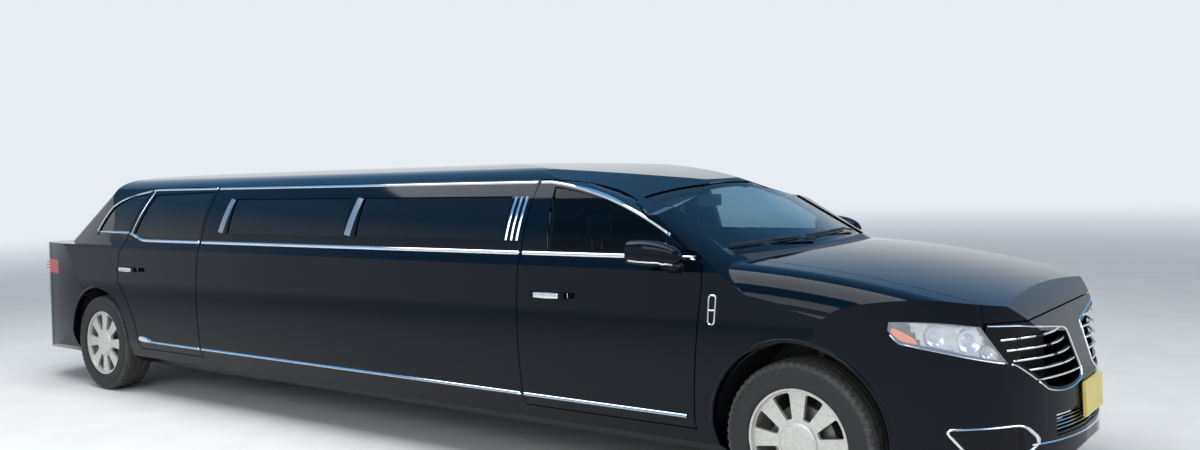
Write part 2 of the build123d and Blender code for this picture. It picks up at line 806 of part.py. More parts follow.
def spindle(x):
    """Hub carrier and spindle, along -Y at the wheel's centre."""
    with BuildPart() as piece:
        with BuildSketch(Plane.XZ.offset(645)):
            with Locations((x, tyre_r)):
                Circle(62)
        extrude(amount=tyre_y + hub_in - seat_gap - 645)
        with BuildSketch(Plane.XZ.offset(645)):
            with Locations((x, tyre_r)):
                Circle(spindle_r)
        extrude(amount=tyre_y + spindle_reach - 645)
    return piece.part


with BuildPart() as knuckle:
    add(spindle(front_axle_x))
    with BuildSketch(Plane.XZ.offset(735)):
        with Locations((front_axle_x, tyre_r)):
            Polygon((-30, 0), (30, 0), (24, -160), (-24, -160), align=None)
    extrude(amount=28)
    with BuildSketch(king_plane(arm_z + 37)):
        Circle(24)
    extrude(amount=36)
    with BuildSketch(king_plane(arm_z + 30)):
        Circle(stud_r + running_clearance)
    extrude(amount=38, mode=Mode.SUBTRACT)
    with BuildSketch(Plane.XZ.offset(645)):
        with Locations((front_axle_x, tyre_r)):
            Polygon((-28, 0), (28, 0), (24, 130), (-24, 130), align=None)
    extrude(amount=30)
    strut_foot = Vector(front_axle_x, -654, 455)
    strut_end = king_plane(862).origin
    with BuildSketch(Plane(origin=strut_foot, x_dir=(1, 0, 0), z_dir=strut_end - strut_foot)):
        Circle(26)
    extrude(amount=(strut_end - strut_foot).length)
    with BuildSketch(king_plane(858)):
        Circle(30)
    extrude(amount=28)
keep("knuckle_right", knuckle.part)
keep("knuckle_left", mirror(knuckle.part, about=Plane.XZ))

# Front wheelhouses, each with the tower that the strut's top bears against
with BuildPart() as house:
    with BuildSketch(Plane.XZ.offset(front_house_y)):
        with Locations((front_axle_x, tyre_r)):
            Circle(house_r + house_t)
    extrude(amount=880 - front_house_y)
    with BuildSketch(king_plane(600)):
        Circle(tower_r + house_t)
    extrude(amount=330)
    with BuildSketch(Plane.XZ.offset(front_house_y + house_t)):
        with Locations((front_axle_x, tyre_r)):
            Circle(house_r)
    extrude(amount=880, mode=Mode.SUBTRACT)
    with BuildSketch(king_plane(600)):
        Circle(tower_r)
    extrude(amount=330 - house_t, mode=Mode.SUBTRACT)
    pad_low = king_plane(858).origin + king_axis * (28 + seat_gap)
    pad_high = king_plane(600).origin + king_axis * (330 - house_t)
    with BuildSketch(Plane(origin=pad_low, x_dir=(1, 0, 0), z_dir=king_axis)):
        Circle(34)
    extrude(amount=(pad_high - pad_low).length)
    add(block(2000, 4400, -1100, 0, -200, 300), mode=Mode.SUBTRACT)
    add(sill_space, mode=Mode.SUBTRACT)
    add(cut(block(2000, 4400, -1100, 0, 200, 1400), inner), mode=Mode.SUBTRACT)

# Rear wheelhouses
with BuildPart() as rear_house:
    with BuildSketch(Plane.XZ.offset(rear_house_y)):
        with Locations((rear_axle_x, tyre_r)):
            Circle(house_r + house_t)
    extrude(amount=900 - rear_house_y)
    with BuildSketch(Plane.XZ.offset(rear_house_y + house_t)):
        with Locations((rear_axle_x, tyre_r)):
            Circle(house_r)
    extrude(amount=900, mode=Mode.SUBTRACT)
    add(block(-3600, -2200, -1100, 0, -200, 380), mode=Mode.SUBTRACT)
    x, y = rear_axle_x, rear_house_y
    add(block(x - 75, x + 75, -y - 20, -y + 20, 0, 450), mode=Mode.SUBTRACT)
    add(cut(block(-3600, -2200, -1100, 0, 200, 1400), inner), mode=Mode.SUBTRACT)
    add(cut(door_cutter(rear_door_line, seal_w + 1), seal_back), mode=Mode.SUBTRACT)
    add(sill_space, mode=Mode.SUBTRACT)
with BuildPart() as wheelhouses:
    add(house.part)
    add(rear_house.part)
    mirror(about=Plane.XZ)
keep("wheelhouses", wheelhouses.part)

# Front cradle with its lower arms and ball studs
with BuildPart() as front_cradle:
    for x in (front_axle_x - 190, front_axle_x + 190):
        add(block(x - 35, x + 35, -395, 395, cradle_top_z - 70, cradle_top_z))
    for y in (-360, 360):
        add(block(firewall_x - 180, front_axle_x + 560, y - 35, y + 35, cradle_top_z - 70, cradle_top_z))
        add(block(firewall_x - 180, firewall_x - 60, y - 35, y + 35, cradle_top_z, pan_low_z))
    for side in (-1, 1):
        with BuildSketch(Plane.XY.offset(arm_z)):
            Polygon(
                (front_axle_x - 190, side * 330), (front_axle_x + 190, side * 330), (front_axle_x + 45, side * 560),
                (front_axle_x + 26, side * 805), (front_axle_x - 26, side * 805), (front_axle_x - 45, side * 560),
                align=None,
            )
        extrude(amount=20)
    for plane in (king_plane(arm_z + 15), mirror_plane(king_plane(arm_z + 15))):
        with BuildSketch(plane):
            Circle(stud_r)
        extrude(amount=45)
keep("front_cradle", front_cradle.part)

# Rear axle beam with its trailing arms, carriers and spindles
with BuildPart() as rear_axle:
    for half in (spindle(rear_axle_x), mirror(spindle(rear_axle_x), about=Plane.XZ)):
        add(half)
    with BuildSketch(Plane.XZ.offset(-650)):
        with Locations((rear_axle_x, tyre_r - 25)):
            Circle(38)
    extrude(amount=1300)
    for y in (-600, 600):
        with BuildSketch(Plane.XZ.offset(y - 25)):
            Polygon(
                (rear_axle_x, tyre_r - 60), (rear_axle_x, tyre_r - 5), (rear_axle_x + 440, pan_low_z - seat_gap),
                (rear_axle_x + 610, pan_low_z - seat_gap), (rear_axle_x + 560, pan_low_z - 50), align=None,
            )
        extrude(amount=50)
    for y in (-430, 430):
        with Locations((rear_axle_x, y, (load_floor_z - seat_gap + tyre_r) / 2)):
            Cylinder(45, load_floor_z - seat_gap - tyre_r)
keep("rear_axle", rear_axle.part)

# Engine, tank and exhaust
with BuildPart() as engine:
    add(block(3010, 3560, -310, 330, cradle_top_z + seat_gap, 860))
    chamfer(engine.edges().filter_by(Axis.Y), 60)
keep("engine", engine.part)
with BuildPart() as fuel_tank:
    add(block(-2250, -1500, -560, 180, 150, pan_low_z))
    fillet(fuel_tank.edges().filter_by(Axis.Z), 60)
keep("fuel_tank", fuel_tank.part)
pipe_z = pan_low_z - pipe_r - seat_gap
with BuildPart() as exhaust:
    with BuildLine() as route:
        FilletPolyline(
            (2880, 180, pipe_z), (2300, 330, pipe_z), (-2490, 330, pipe_z), (-2690, 330, 440),
            (-3180, 330, 440), (-3480, 330, 260), radius=80,
        )
    with BuildSketch(Plane(origin=route.line @ 0, z_dir=route.line % 0)):
        Circle(pipe_r)
    sweep()
    with BuildSketch(Plane.YZ.offset(-3460)):
        with Locations((330, 250)):
            RectangleRounded(220, 150, 60)
    extrude(amount=-400)
    add(block(-4110, -3850, 290, 370, 205, 238))
keep("exhaust", exhaust.part)

# Door mirrors
with BuildPart() as mirror_right:
    with BuildSketch(Plane.YZ.offset(2305)):
        with BuildLine():
            a = Polyline((-975, 1156), (-968, 1240))
            b = ThreePointArc(a @ 1, (-990, 1278), (-1030, 1284))
            c = ThreePointArc(b @ 1, (-1082, 1262), (-1090, 1205))
            Polyline(c @ 1, (-1080, 1156), (-1040, 1142), a @ 0)
        make_face()
    extrude(amount=300)
    fillet(mirror_right.faces().sort_by(Axis.X)[-1].edges(), 35)
    add(block(2420, 2540, -1010, -900, 1128, 1166))
    add(outer, mode=Mode.SUBTRACT)
keep("mirror_right", mirror_right.part)
keep("mirror_left", mirror(mirror_right.part, about=Plane.XZ))

# Dashboard, steering column and wheel
with BuildPart() as dashboard:
    with BuildSketch(Plane.XZ.offset(-790)):
        with BuildLine():
            x = firewall_x - floor_t
            a = Polyline((x, 560), (x, 1085), (2500, 1092))
            b = ThreePointArc(a @ 1, (2330, 1070), (2290, 1000))
            Polyline(b @ 1, (2330, 900), (2400, 700), (2480, 560), a @ 0)
        make_face()
    extrude(amount=1580)
dashboard_part = cut(dashboard.part, within=[seal_back])
keep("dashboard", dashboard_part)
column = Plane(origin=(2235, 375, 985), x_dir=(0, 1, 0), z_dir=(-0.90, 0, 0.44))
with BuildPart() as steering_wheel:
    with BuildSketch(Plane(origin=column.origin, x_dir=(0, 1, 0), z_dir=(0.44, 0, 0.90))):
        with Locations((178, 0)):
            Circle(15)
    revolve(axis=Axis(column.origin, column.z_dir))
    with BuildSketch(column.offset(-12)):
        Rectangle(360, 46)
        Circle(62)
    extrude(amount=24)
    with BuildSketch(column.offset(-12)):
        Circle(34)
    extrude(amount=-130)
keep("steering_wheel", cut(steering_wheel.part, dashboard_part))
with BuildPart() as inner_mirror:
    add(block(2110, 2137, -125, 125, 1385, 1450))
    add(block(2115, 2131, -8, 8, 1440, windscreen_top_z - seat_gap))
keep("inner_mirror", inner_mirror.part)


def seat_line():
    """A seat from the side, its front edge at X = 0 and its base at Z = 0."""
    a = Polyline((0, 0), (0, 90))
    b = ThreePointArc(a @ 1, (-20, 125), (-60, 132))
    c = Polyline(b @ 1, (-430, 112), (-575, 640))
    d = ThreePointArc(c @ 1, (-625, 690), (-690, 640))
    Polyline(d @ 1, (-590, 0), a @ 0)


def seat(front_x, base_z, y_low, y_high):
    with BuildPart() as piece:
        with BuildSketch(Plane(origin=(front_x, y_high, base_z), x_dir=(1, 0, 0), z_dir=(0, -1, 0))):
            with BuildLine():
                seat_line()
            make_face()
        extrude(amount=y_high - y_low)
    return piece.part


floor_top = pan_low_z + floor_t
bench_y = sill_in_y - 10
with BuildPart() as front_seats:
    for y in (-640, 120):
        add(seat(2215, floor_top + 210, y, y + 520))
        add(block(1720, 2140, y + 60, y + 460, floor_top + seat_gap, floor_top + 210))
        add(block(1560, 1650, y + 130, y + 390, 1215, 1390))
        add(block(1590, 1620, y + 200, y + 320, 1170, 1220))
keep("front_seats", front_seats.part)
with BuildPart() as lounge_seats:
    add(seat(-1795, floor_top + 180, -bench_y, bench_y))
    add(block(-2300, -1870, -bench_y, bench_y, floor_top + seat_gap, floor_top + 180))
    add(block(-1420, 1180, bench_y - 370, bench_y, floor_top + seat_gap, floor_top + 310))
    add(block(-1420, 1180, bench_y - 100, bench_y, floor_top + 310, floor_top + 740))
keep("lounge_seats", lounge_seats.part)
partition = cut(
    block(1405, 1435, -900, 900, floor_top, 1800),
    block(1300, 1500, -560, 560, 1050, 1500),
    both(sill_space),
    within=[seal_front],
)
keep("partition", partition)
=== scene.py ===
import json
import math

import bmesh
import bpy
import numpy as np
from mathutils import Matrix, Vector
from mathutils.bvhtree import BVHTree
from mathutils.geometry import delaunay_2d_cdt


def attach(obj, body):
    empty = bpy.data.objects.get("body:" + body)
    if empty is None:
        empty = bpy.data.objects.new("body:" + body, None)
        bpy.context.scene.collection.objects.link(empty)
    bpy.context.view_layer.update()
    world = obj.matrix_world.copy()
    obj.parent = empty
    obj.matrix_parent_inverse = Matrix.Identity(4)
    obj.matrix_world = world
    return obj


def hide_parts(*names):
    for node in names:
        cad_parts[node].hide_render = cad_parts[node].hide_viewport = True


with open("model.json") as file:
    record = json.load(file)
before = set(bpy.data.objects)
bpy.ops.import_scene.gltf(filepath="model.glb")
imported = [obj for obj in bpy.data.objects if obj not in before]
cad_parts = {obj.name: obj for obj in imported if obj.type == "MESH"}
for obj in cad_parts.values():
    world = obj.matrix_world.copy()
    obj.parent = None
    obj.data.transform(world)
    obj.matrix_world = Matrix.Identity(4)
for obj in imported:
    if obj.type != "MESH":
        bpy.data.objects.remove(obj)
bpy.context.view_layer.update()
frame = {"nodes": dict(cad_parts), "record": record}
nodes = frame["nodes"]

# Places shared with the CAD, in metres
FRONT_AXLE_X = 3.1205
REAR_AXLE_X = -2.9225
TYRE_Y = 0.8225
TYRE_R = 0.368
TYRE_HALF = 0.1175
RIM_R = 0.247

# Directions in which the skin is looked for, and the way up
SIDE = (0, 1, 0)
FRONT = (-1, 0, 0)
REAR = (1, 0, 0)
UP = (0, 0, 1)

# ---- materials

CLOUD_DETAIL = 5
GRAIN_DETAIL = 6
GRAIN_STRENGTH = 0.4


def feed(tree, socket, value):
    """Gives a socket a value, or a link from another node's output."""
    if isinstance(value, bpy.types.NodeSocket):
        tree.links.new(value, socket)
    else:
        socket.default_value = value


def node(tree, kind, sockets=(), **settings):
    made = tree.nodes.new("ShaderNode" + kind)
    for key, value in settings.items():
        setattr(made, key, value)
    for key, value in dict(sockets).items():
        feed(tree, made.inputs[key], value)
    return made


def noise(tree, scale, detail, stretch):
    place = node(tree, "TexCoord").outputs["Object"]
    spread = node(tree, "Mapping", {"Vector": place, "Scale": stretch}).outputs["Vector"]
    made = node(tree, "TexNoise", {"Vector": spread, "Scale": scale, "Detail": detail})
    return made.outputs["Fac"]


def ramp(tree, source, low, high, start=0.3, end=0.7):
    made = node(tree, "ValToRGB", {"Fac": source})
    for element, place, colour in zip(made.color_ramp.elements, (start, end), (low, high)):
        element.position = place
        element.color = (*colour, 1)
    return made.outputs["Color"]


def surface(name, low, high, rough, scale, metal=0.0, stretch=(1, 1, 1), grain=0.0, relief=0.0,
            spread=0.06, **sockets):
    """A material whose colour and roughness vary with a noise, with a finer one as its grain."""
    material = bpy.data.materials.new(name)
    material.use_nodes = True
    tree = material.node_tree
    shader = tree.nodes["Principled BSDF"]
    cloud = noise(tree, scale, CLOUD_DETAIL, stretch)
    roughness = node(tree, "MapRange", {"Value": cloud, "To Min": max(rough - spread, 0.0),
                                        "To Max": min(rough + spread, 1.0)})
    feed(tree, shader.inputs["Base Color"], ramp(tree, cloud, low, high))
    feed(tree, shader.inputs["Roughness"], roughness.outputs["Result"])
    feed(tree, shader.inputs["Metallic"], metal)
    for key, value in sockets.items():
        feed(tree, shader.inputs[key.replace("_", " ")], value)
    if grain:
        fine = noise(tree, grain, GRAIN_DETAIL, stretch)
        bump = node(tree, "Bump", {"Height": fine, "Strength": GRAIN_STRENGTH, "Distance": relief})
        feed(tree, shader.inputs["Normal"], bump.outputs["Normal"])
    return material


PAINT = surface(
    "paint_look", (0.0006, 0.002, 0.005), (0.001, 0.0034, 0.0082), 0.06, 700, spread=0.02,
    Specular_IOR_Level=0.2)
BLACK_GLOSS = surface(
    "black_gloss", (0.002, 0.002, 0.003), (0.004, 0.004, 0.005), 0.06, 60, spread=0.02,
    Specular_IOR_Level=0.2)
PLASTIC = surface(
    "dark_plastic_look", (0.008, 0.008, 0.009), (0.016, 0.016, 0.017), 0.5, 90, grain=900,
    relief=0.0003)
CHROME = surface(
    "chrome_look", (0.78, 0.79, 0.8), (0.88, 0.885, 0.89), 0.09, 30, metal=1.0, spread=0.03)
SILVER = surface(
    "brushed_silver", (0.34, 0.35, 0.36), (0.46, 0.47, 0.48), 0.34, 120, metal=1.0,
    stretch=(8, 8, 0.3), grain=300, relief=0.0001)
GLASS_TINT = surface(
    "glass_tint_look", (0.0015, 0.002, 0.003), (0.003, 0.004, 0.006), 0.03, 5, spread=0.01,
    Alpha=0.93, Specular_IOR_Level=0.35)
GLASS_CLEAR = surface(
    "glass_clear_look", (0.62, 0.8, 0.84), (0.66, 0.84, 0.88), 0.01, 5, spread=0.005,
    Transmission_Weight=1.0, IOR=1.2)
GLASS_DOOR = surface(
    "glass_door_look", (0.24, 0.32, 0.35), (0.27, 0.36, 0.39), 0.01, 5, spread=0.005,
    Transmission_Weight=1.0, IOR=1.2)
LENS = surface(
    "lens_look", (0.8, 0.86, 0.9), (0.88, 0.92, 0.95), 0.03, 30, spread=0.01, Alpha=0.16,
    Specular_IOR_Level=0.9)
REFLECTOR = surface(
    "lamp_reflector", (0.62, 0.65, 0.68), (0.86, 0.88, 0.9), 0.22, 22, metal=0.9, grain=55,
    relief=0.004)
AMBER = surface(
    "amber_marker", (0.75, 0.13, 0.02), (0.95, 0.26, 0.05), 0.2, 70, stretch=(1, 1, 6), grain=160,
    relief=0.001)
LAMP_RED = surface(
    "lamp_red_look", (0.34, 0.006, 0.006), (0.52, 0.014, 0.012), 0.12, 60, spread=0.03,
    stretch=(1, 4, 1), grain=120, relief=0.0006)
TYRE = surface(
    "tyre_look", (0.007, 0.007, 0.0075), (0.015, 0.015, 0.015), 0.62, 45, grain=500, relief=0.0004)
TREAD = surface(
    "tread_look", (0.03, 0.0295, 0.028), (0.075, 0.073, 0.069), 0.85, 60, grain=300, relief=0.0008)
ALLOY = surface(
    "alloy_look", (0.54, 0.53, 0.49), (0.66, 0.65, 0.61), 0.38, 60, metal=0.55, spread=0.05,
    grain=900, relief=0.00005)
CAST = surface(
    "cast_look", (0.1, 0.1, 0.1), (0.2, 0.2, 0.2), 0.6, 30, metal=0.6, grain=250,
    relief=0.0006)
STEEL = surface(
    "steel_look", (0.2, 0.19, 0.18), (0.34, 0.33, 0.31), 0.42, 25, metal=0.9, grain=200,
    relief=0.0003)
UNDERBODY = surface(
    "underbody_look", (0.008, 0.008, 0.008), (0.018, 0.0175, 0.017), 0.85, 20, grain=220,
    relief=0.0012)
SEAL = surface(
    "seal_look", (0.006, 0.006, 0.006), (0.012, 0.012, 0.012), 0.65, 80, grain=600, relief=0.0002)
LEATHER = surface(
    "leather_look", (0.016, 0.015, 0.014), (0.03, 0.027, 0.026), 0.45, 12, grain=420,
    relief=0.0006)
TRIM = surface(
    "trim_look", (0.018, 0.018, 0.019), (0.03, 0.03, 0.031), 0.6, 30, grain=700, relief=0.0004)
PLATE = surface(
    "plate_look", (0.62, 0.5, 0.1), (0.72, 0.6, 0.16), 0.35, 15, grain=90, relief=0.0002)

# The looks of the CAD's slots, and the slots of the looks
NODE_LOOKS = {
    "paint": PAINT, "dark_plastic": PLASTIC, "chrome": CHROME, "glass_tint": GLASS_TINT,
    "glass_clear": GLASS_CLEAR, "lamp_clear": LENS, "lamp_red": LAMP_RED, "tyre": TYRE,
    "alloy": ALLOY, "cast": CAST, "steel": STEEL, "underbody": UNDERBODY, "seal": SEAL,
    "seat": LEATHER, "trim": TRIM, "plate": PLATE,
}
SLOT_OF = {look.name: slot for slot, look in NODE_LOOKS.items()}
SLOT_OF.update({BLACK_GLOSS.name: "dark_plastic", SILVER.name: "alloy", REFLECTOR.name: "alloy",
                AMBER.name: "lamp_red"})
for obj in nodes.values():
    slot_name = obj.data.materials[0].name.split(".")[0] if obj.data.materials else "?"
    if slot_name in NODE_LOOKS:
        obj.data.materials[0] = NODE_LOOKS[slot_name]
for name, look in (("front_door_glass_right", GLASS_DOOR), ("front_door_glass_left", GLASS_DOOR),
                   ("grille_wings", BLACK_GLOSS), ("fog_lamps", BLACK_GLOSS),
                   ("lower_grille", BLACK_GLOSS)):
    nodes[name].data.materials[0] = look

# ---- camera, light and floor

CAMERA_PLACE = (5.3831, -5.2748, 1.6563)
YAW, PITCH, ROLL = (math.radians(angle) for angle in (127.3675, -0.0703, -1.9016))
FLOOR_HALF = 60
FLOOR_NEAR, FLOOR_FAR = 7.0, 30.0
FAR = (0.8, 0.85, 0.9)
SKY = (0.13, 0.38, 0.72)
SKY_FADE = (0.16, 0.42)
ROOM = (0.8, 0.86, 0.95)
ROOM_STRENGTH = 0.55

forward = Vector((math.cos(PITCH) * math.cos(YAW), math.cos(PITCH) * math.sin(YAW),
                  math.sin(PITCH)))
level = Vector((math.sin(YAW), -math.cos(YAW), 0))
upright = level.cross(forward)
across = level * math.cos(ROLL) + upright * math.sin(ROLL)
upward = upright * math.cos(ROLL) - level * math.sin(ROLL)
camera_data = bpy.data.cameras.new("camera")
camera_data.sensor_fit = "HORIZONTAL"
camera_data.sensor_width = 36.0
camera_data.lens = 32.33
camera_data.shift_y = -0.0508
camera = bpy.data.objects.new("camera", camera_data)
turn = Matrix((across, upward, -forward)).transposed().to_4x4()
camera.matrix_world = Matrix.Translation(CAMERA_PLACE) @ turn
bpy.context.collection.objects.link(camera)
bpy.context.scene.camera = camera

# The floor, whose far part fades into the sky's lowest colour
floor_mesh = bpy.data.meshes.new("floor")
corners = [(x * FLOOR_HALF, y * FLOOR_HALF, 0) for x, y in ((-1, -1), (1, -1), (1, 1), (-1, 1))]
floor_mesh.from_pydata(corners, [], [(0, 1, 2, 3)])
floor = bpy.data.objects.new("floor", floor_mesh)
bpy.context.collection.objects.link(floor)
floor_mesh.materials.append(surface("floor_look", (0.62, 0.62, 0.61), (0.66, 0.66, 0.65), 0.8, 3,
                                    grain=40, relief=0.0005))
tree = floor_mesh.materials[0].node_tree
place = node(tree, "TexCoord").outputs["Object"]
reach = node(tree, "VectorMath", {0: place}, operation="LENGTH").outputs["Value"]
fade = node(tree, "MapRange", {"Value": reach, "From Min": FLOOR_NEAR, "From Max": FLOOR_FAR},
            interpolation_type="SMOOTHSTEP")
glow = node(tree, "Emission", {"Color": (*FAR, 1)})
plain = tree.nodes["Principled BSDF"]
mixed = node(tree, "MixShader", {0: fade.outputs["Result"], 1: plain.outputs[0],
                                 2: glow.outputs[0]})
feed(tree, tree.nodes["Material Output"].inputs["Surface"], mixed.outputs[0])


def soft_light(name, place, target, width, height, watts):
    data = bpy.data.lights.new(name, "AREA")
    data.shape = "RECTANGLE"
    data.size, data.size_y = width, height
    data.energy = watts
    lamp = bpy.data.objects.new(name, data)
    lamp.location = place
    lamp.rotation_euler = (Vector(target) - Vector(place)).to_track_quat("-Z", "Y").to_euler()
    bpy.context.collection.objects.link(lamp)


soft_light("top_light", (0, -1.5, 6.5), (0, 0, 0), 11, 5, 650)
soft_light("side_light", (2, -11, 5.5), (0, 0, 0.8), 12, 4, 420)
soft_light("front_light", (11, 1, 5), (2, 0, 0.8), 6, 4, 220)

# The room lights the car evenly. The camera, reflections and clear glass see the sky instead.
world = bpy.data.worlds.new("studio")
world.use_nodes = True
bpy.context.scene.world = world
tree = world.node_tree
room = tree.nodes["Background"]
feed(tree, room.inputs["Color"], (*ROOM, 1))
feed(tree, room.inputs["Strength"], ROOM_STRENGTH)
place = node(tree, "TexCoord").outputs["Generated"]
height = node(tree, "SeparateXYZ", {0: place}).outputs["Z"]
sky = node(tree, "Background", {"Color": ramp(tree, height, FAR, SKY, *SKY_FADE), "Strength": 1.0})
rays = node(tree, "LightPath").outputs
seen = rays["Is Camera Ray"]
for kind in ("Is Glossy Ray", "Is Transmission Ray"):
    seen = node(tree, "Math", {0: seen, 1: rays[kind]}, operation="MAXIMUM").outputs[0]
either = node(tree, "MixShader", {0: seen, 1: room.outputs[0], 2: sky.outputs[0]})
feed(tree, tree.nodes["World Output"].inputs["Surface"], either.outputs[0])
bpy.context.scene.view_settings.view_transform = "Standard"

# ---- making pieces

SHARP = 35
FULL_TURN = 2 * math.pi


def finished(name, mesh, form, look, body, slot=None, sharp=None):
    """A named piece from a bmesh form: smooth, but for edges sharper than a given angle."""
    bmesh.ops.recalc_face_normals(form, faces=form.faces)
    form.to_mesh(mesh)
    form.free()
    mesh.shade_smooth()
    if sharp:
        mesh.set_sharp_from_angle(angle=math.radians(sharp))
    mesh.materials.append(look)
    obj = bpy.data.objects.new(name, mesh)
    bpy.context.collection.objects.link(obj)
    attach(obj, body)
    slot or SLOT_OF[look.name]
    return obj


def piece(name, points, faces, look, body="body", slot=None, sharp=SHARP, second=None, pick=None):
    """A piece from points and faces. A second look goes where pick says 1."""
    mesh = bpy.data.meshes.new(name)
    mesh.from_pydata(points, [], faces)
    form = bmesh.new()
    form.from_mesh(mesh)
    obj = finished(name, mesh, form, look, body, slot, sharp)
    if second:
        mesh.materials.append(second)
        for face in mesh.polygons:
            face.material_index = pick(face.center)
    return obj


def pair(name, points, faces, look, body="body", replaced=None, **more):
    """A piece on the right and its mirror image on the left, in the place of a CAD solid."""
    mirrored = [(p.x, -p.y, p.z) for p in points]
    left = piece(name + "_left", mirrored, [tuple(reversed(f)) for f in faces], look,
                 body.replace("right", "left"), **more)
    right = piece(name + "_right", points, faces, look, body, **more)
    if replaced:
        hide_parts(replaced)
        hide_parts(replaced.replace("right", "left"))


def grid_faces(rows, columns, closed=False):
    """Faces between rings of points, one ring per row."""
    faces = []
    for i in range(rows if closed else rows - 1):
        a, b = i * columns, (i + 1) % rows * columns
        for j in range(columns):
            k = (j + 1) % columns
            faces.append((a + j, a + k, b + k, b + j))
    return faces


def capped(rows, columns):
    """Faces of a closed bar with one ring of points per row."""
    ends = [tuple(reversed(range(columns))),
            tuple((rows - 1) * columns + j for j in range(columns))]
    return grid_faces(rows, columns) + ends


def xz(points):
    return [Vector((x, 0, z)) for x, z in points]


# Rays towards the nose and the tail start from these places, clear of the cabin
NOSE_X = 2.5
TAIL_X = -2.5


def yz(points, x=NOSE_X):
    return [Vector((x, y, z)) for y, z in points]


def steps(low, high, count):
    """Evenly spaced values from low to high, with both."""
    return [low + (high - low) * i / count for i in range(count + 1)]


def smooth_line(points, step=0.02):
    """Points along a smooth curve through the given ones."""
    points = [Vector(p) for p in points]
    ends = [points[0] * 2 - points[1], *points, points[-1] * 2 - points[-2]]
    made = [points[0]]
    for a, b, c, d in zip(ends, ends[1:], ends[2:], ends[3:]):
        count = max(2, int((c - b).length / step))
        for i in range(1, count + 1):
            t = i / count
            made.append(0.5 * ((2 * b) + (c - a) * t + (2 * a - 5 * b + 4 * c - d) * t * t
                               + (3 * b - a - 3 * c + d) * t * t * t))
    return made


def arc(a, b, c, step=0.02):
    """Pairs along the circle through three pairs."""
    a, b, c = xz((a, b, c))
    u, v = b - a, c - a
    w = u.cross(v)
    turned = v.cross(w) * -u.length_squared + w.cross(u) * -v.length_squared
    centre = a + turned / (-2 * w.length_squared)
    first, last = a - centre, c - centre
    axis = w.normalized()
    sweep = math.atan2(first.cross(last).dot(axis), first.dot(last)) % FULL_TURN
    angles = steps(0, sweep, max(2, int(sweep * first.length / step)))
    made = [centre + Matrix.Rotation(angle, 3, axis) @ first for angle in angles]
    return [(p.x, p.z) for p in made]


def rounded(corners, radius, count=5):
    """A closed outline with rounded corners, as pairs."""
    out = []
    for i, corner in enumerate(corners):
        corner = Vector(corner)
        before, after = Vector(corners[i - 1]), Vector(corners[(i + 1) % len(corners)])
        r = min(radius, (before - corner).length * 0.45, (after - corner).length * 0.45)
        a = corner + (before - corner).normalized() * r
        b = corner + (after - corner).normalized() * r
        for k in range(count + 1):
            t = k / count
            out.append(tuple(a * (1 - t) ** 2 + corner * 2 * t * (1 - t) + b * t * t))
    return out


def inset(outline, amount):
    """A closed outline moved inwards, or outwards where amount is negative."""
    count = len(outline)
    area = sum(a[0] * b[1] - b[0] * a[1] for a, b in zip(outline, outline[1:] + outline[:1]))
    way = amount if area > 0 else -amount
    out = []
    for i, p in enumerate(outline):
        run = (Vector(outline[(i + 1) % count]) - Vector(outline[i - 1])).normalized()
        out.append((p[0] - run.y * way, p[1] + run.x * way))
    return out


def densify(outline, step=0.02):
    """A closed outline with more points along its edges."""
    out = []
    for a, b in zip(outline, outline[1:] + outline[:1]):
        a, b = Vector(a), Vector(b)
        count = max(1, int((b - a).length / step))
        out.extend(tuple(a.lerp(b, i / count)) for i in range(count))
    return out


# ---- laying pieces on the skin

# The CAD solids that make the outer skin of the right side, the nose and the tail
OUTSIDE = [
    "front_door_right", "front_door_glass_right", "rear_door_right", "rear_door_glass_right",
    "stretch_panels", "side_glass", "roof", "a_pillars", "windscreen", "cowl", "fenders",
    "front_bumper", "headlamps", "grille_wings", "lower_grille", "fog_lamps", "quarter_panels",
    "rear_bumper", "tail_lamps", "sills", "hood", "liftgate", "liftgate_glass", "liftgate_lamp",
]
CAST_BEFORE = 3
JUMP = 0.035
FAR_JUMP = 0.35
TANGENT_REACH = 0.008
SINK = 0.002
CROWN = ((0.18, 0.62), (0.5, 1.0), (0.82, 0.62))
RUN_STEP = 0.01
HALVINGS = 6
RUN_POINTS = 200
SHORTEST_RUN = 0.025
SEAM = 0.0035
SHEET_T = 0.003
THICK_SHEET_T = 0.004

body_of = {n: body for body, members in frame["record"]["behaviour"]["bodies"].items()
           for n in members}


def skin_of(*names):
    """The faces of CAD solids, as a tree that rays can be cast at."""
    points, faces = [], []
    for n in names:
        mesh = nodes[n].data
        base = len(points)
        points.extend(v.co.copy() for v in mesh.vertices)
        faces.extend([base + i for i in face.vertices] for face in mesh.polygons)
    return BVHTree.FromPolygons(points, faces)


skin = skin_of(*OUTSIDE)
skin_owner = [body_of[n] for n in OUTSIDE for _ in nodes[n].data.polygons]
body_skin = {owner: skin_of(*(n for n in OUTSIDE if body_of[n] == owner))
             for owner in sorted(set(skin_owner))}


def hit(tree, point, facing):
    """How far from a point the skin lies, seen along facing, and which face it is."""
    start = Vector(point) - Vector(facing) * CAST_BEFORE
    found, _, index, distance = tree.ray_cast(start, Vector(facing), 2 * CAST_BEFORE)
    return None if found is None else distance - CAST_BEFORE, index


def depth_at(tree, point, facing):
    return hit(tree, point, facing)[0]


def owner_at(point, facing):
    depth, index = hit(skin, point, facing)
    return None if depth is None else skin_owner[index]


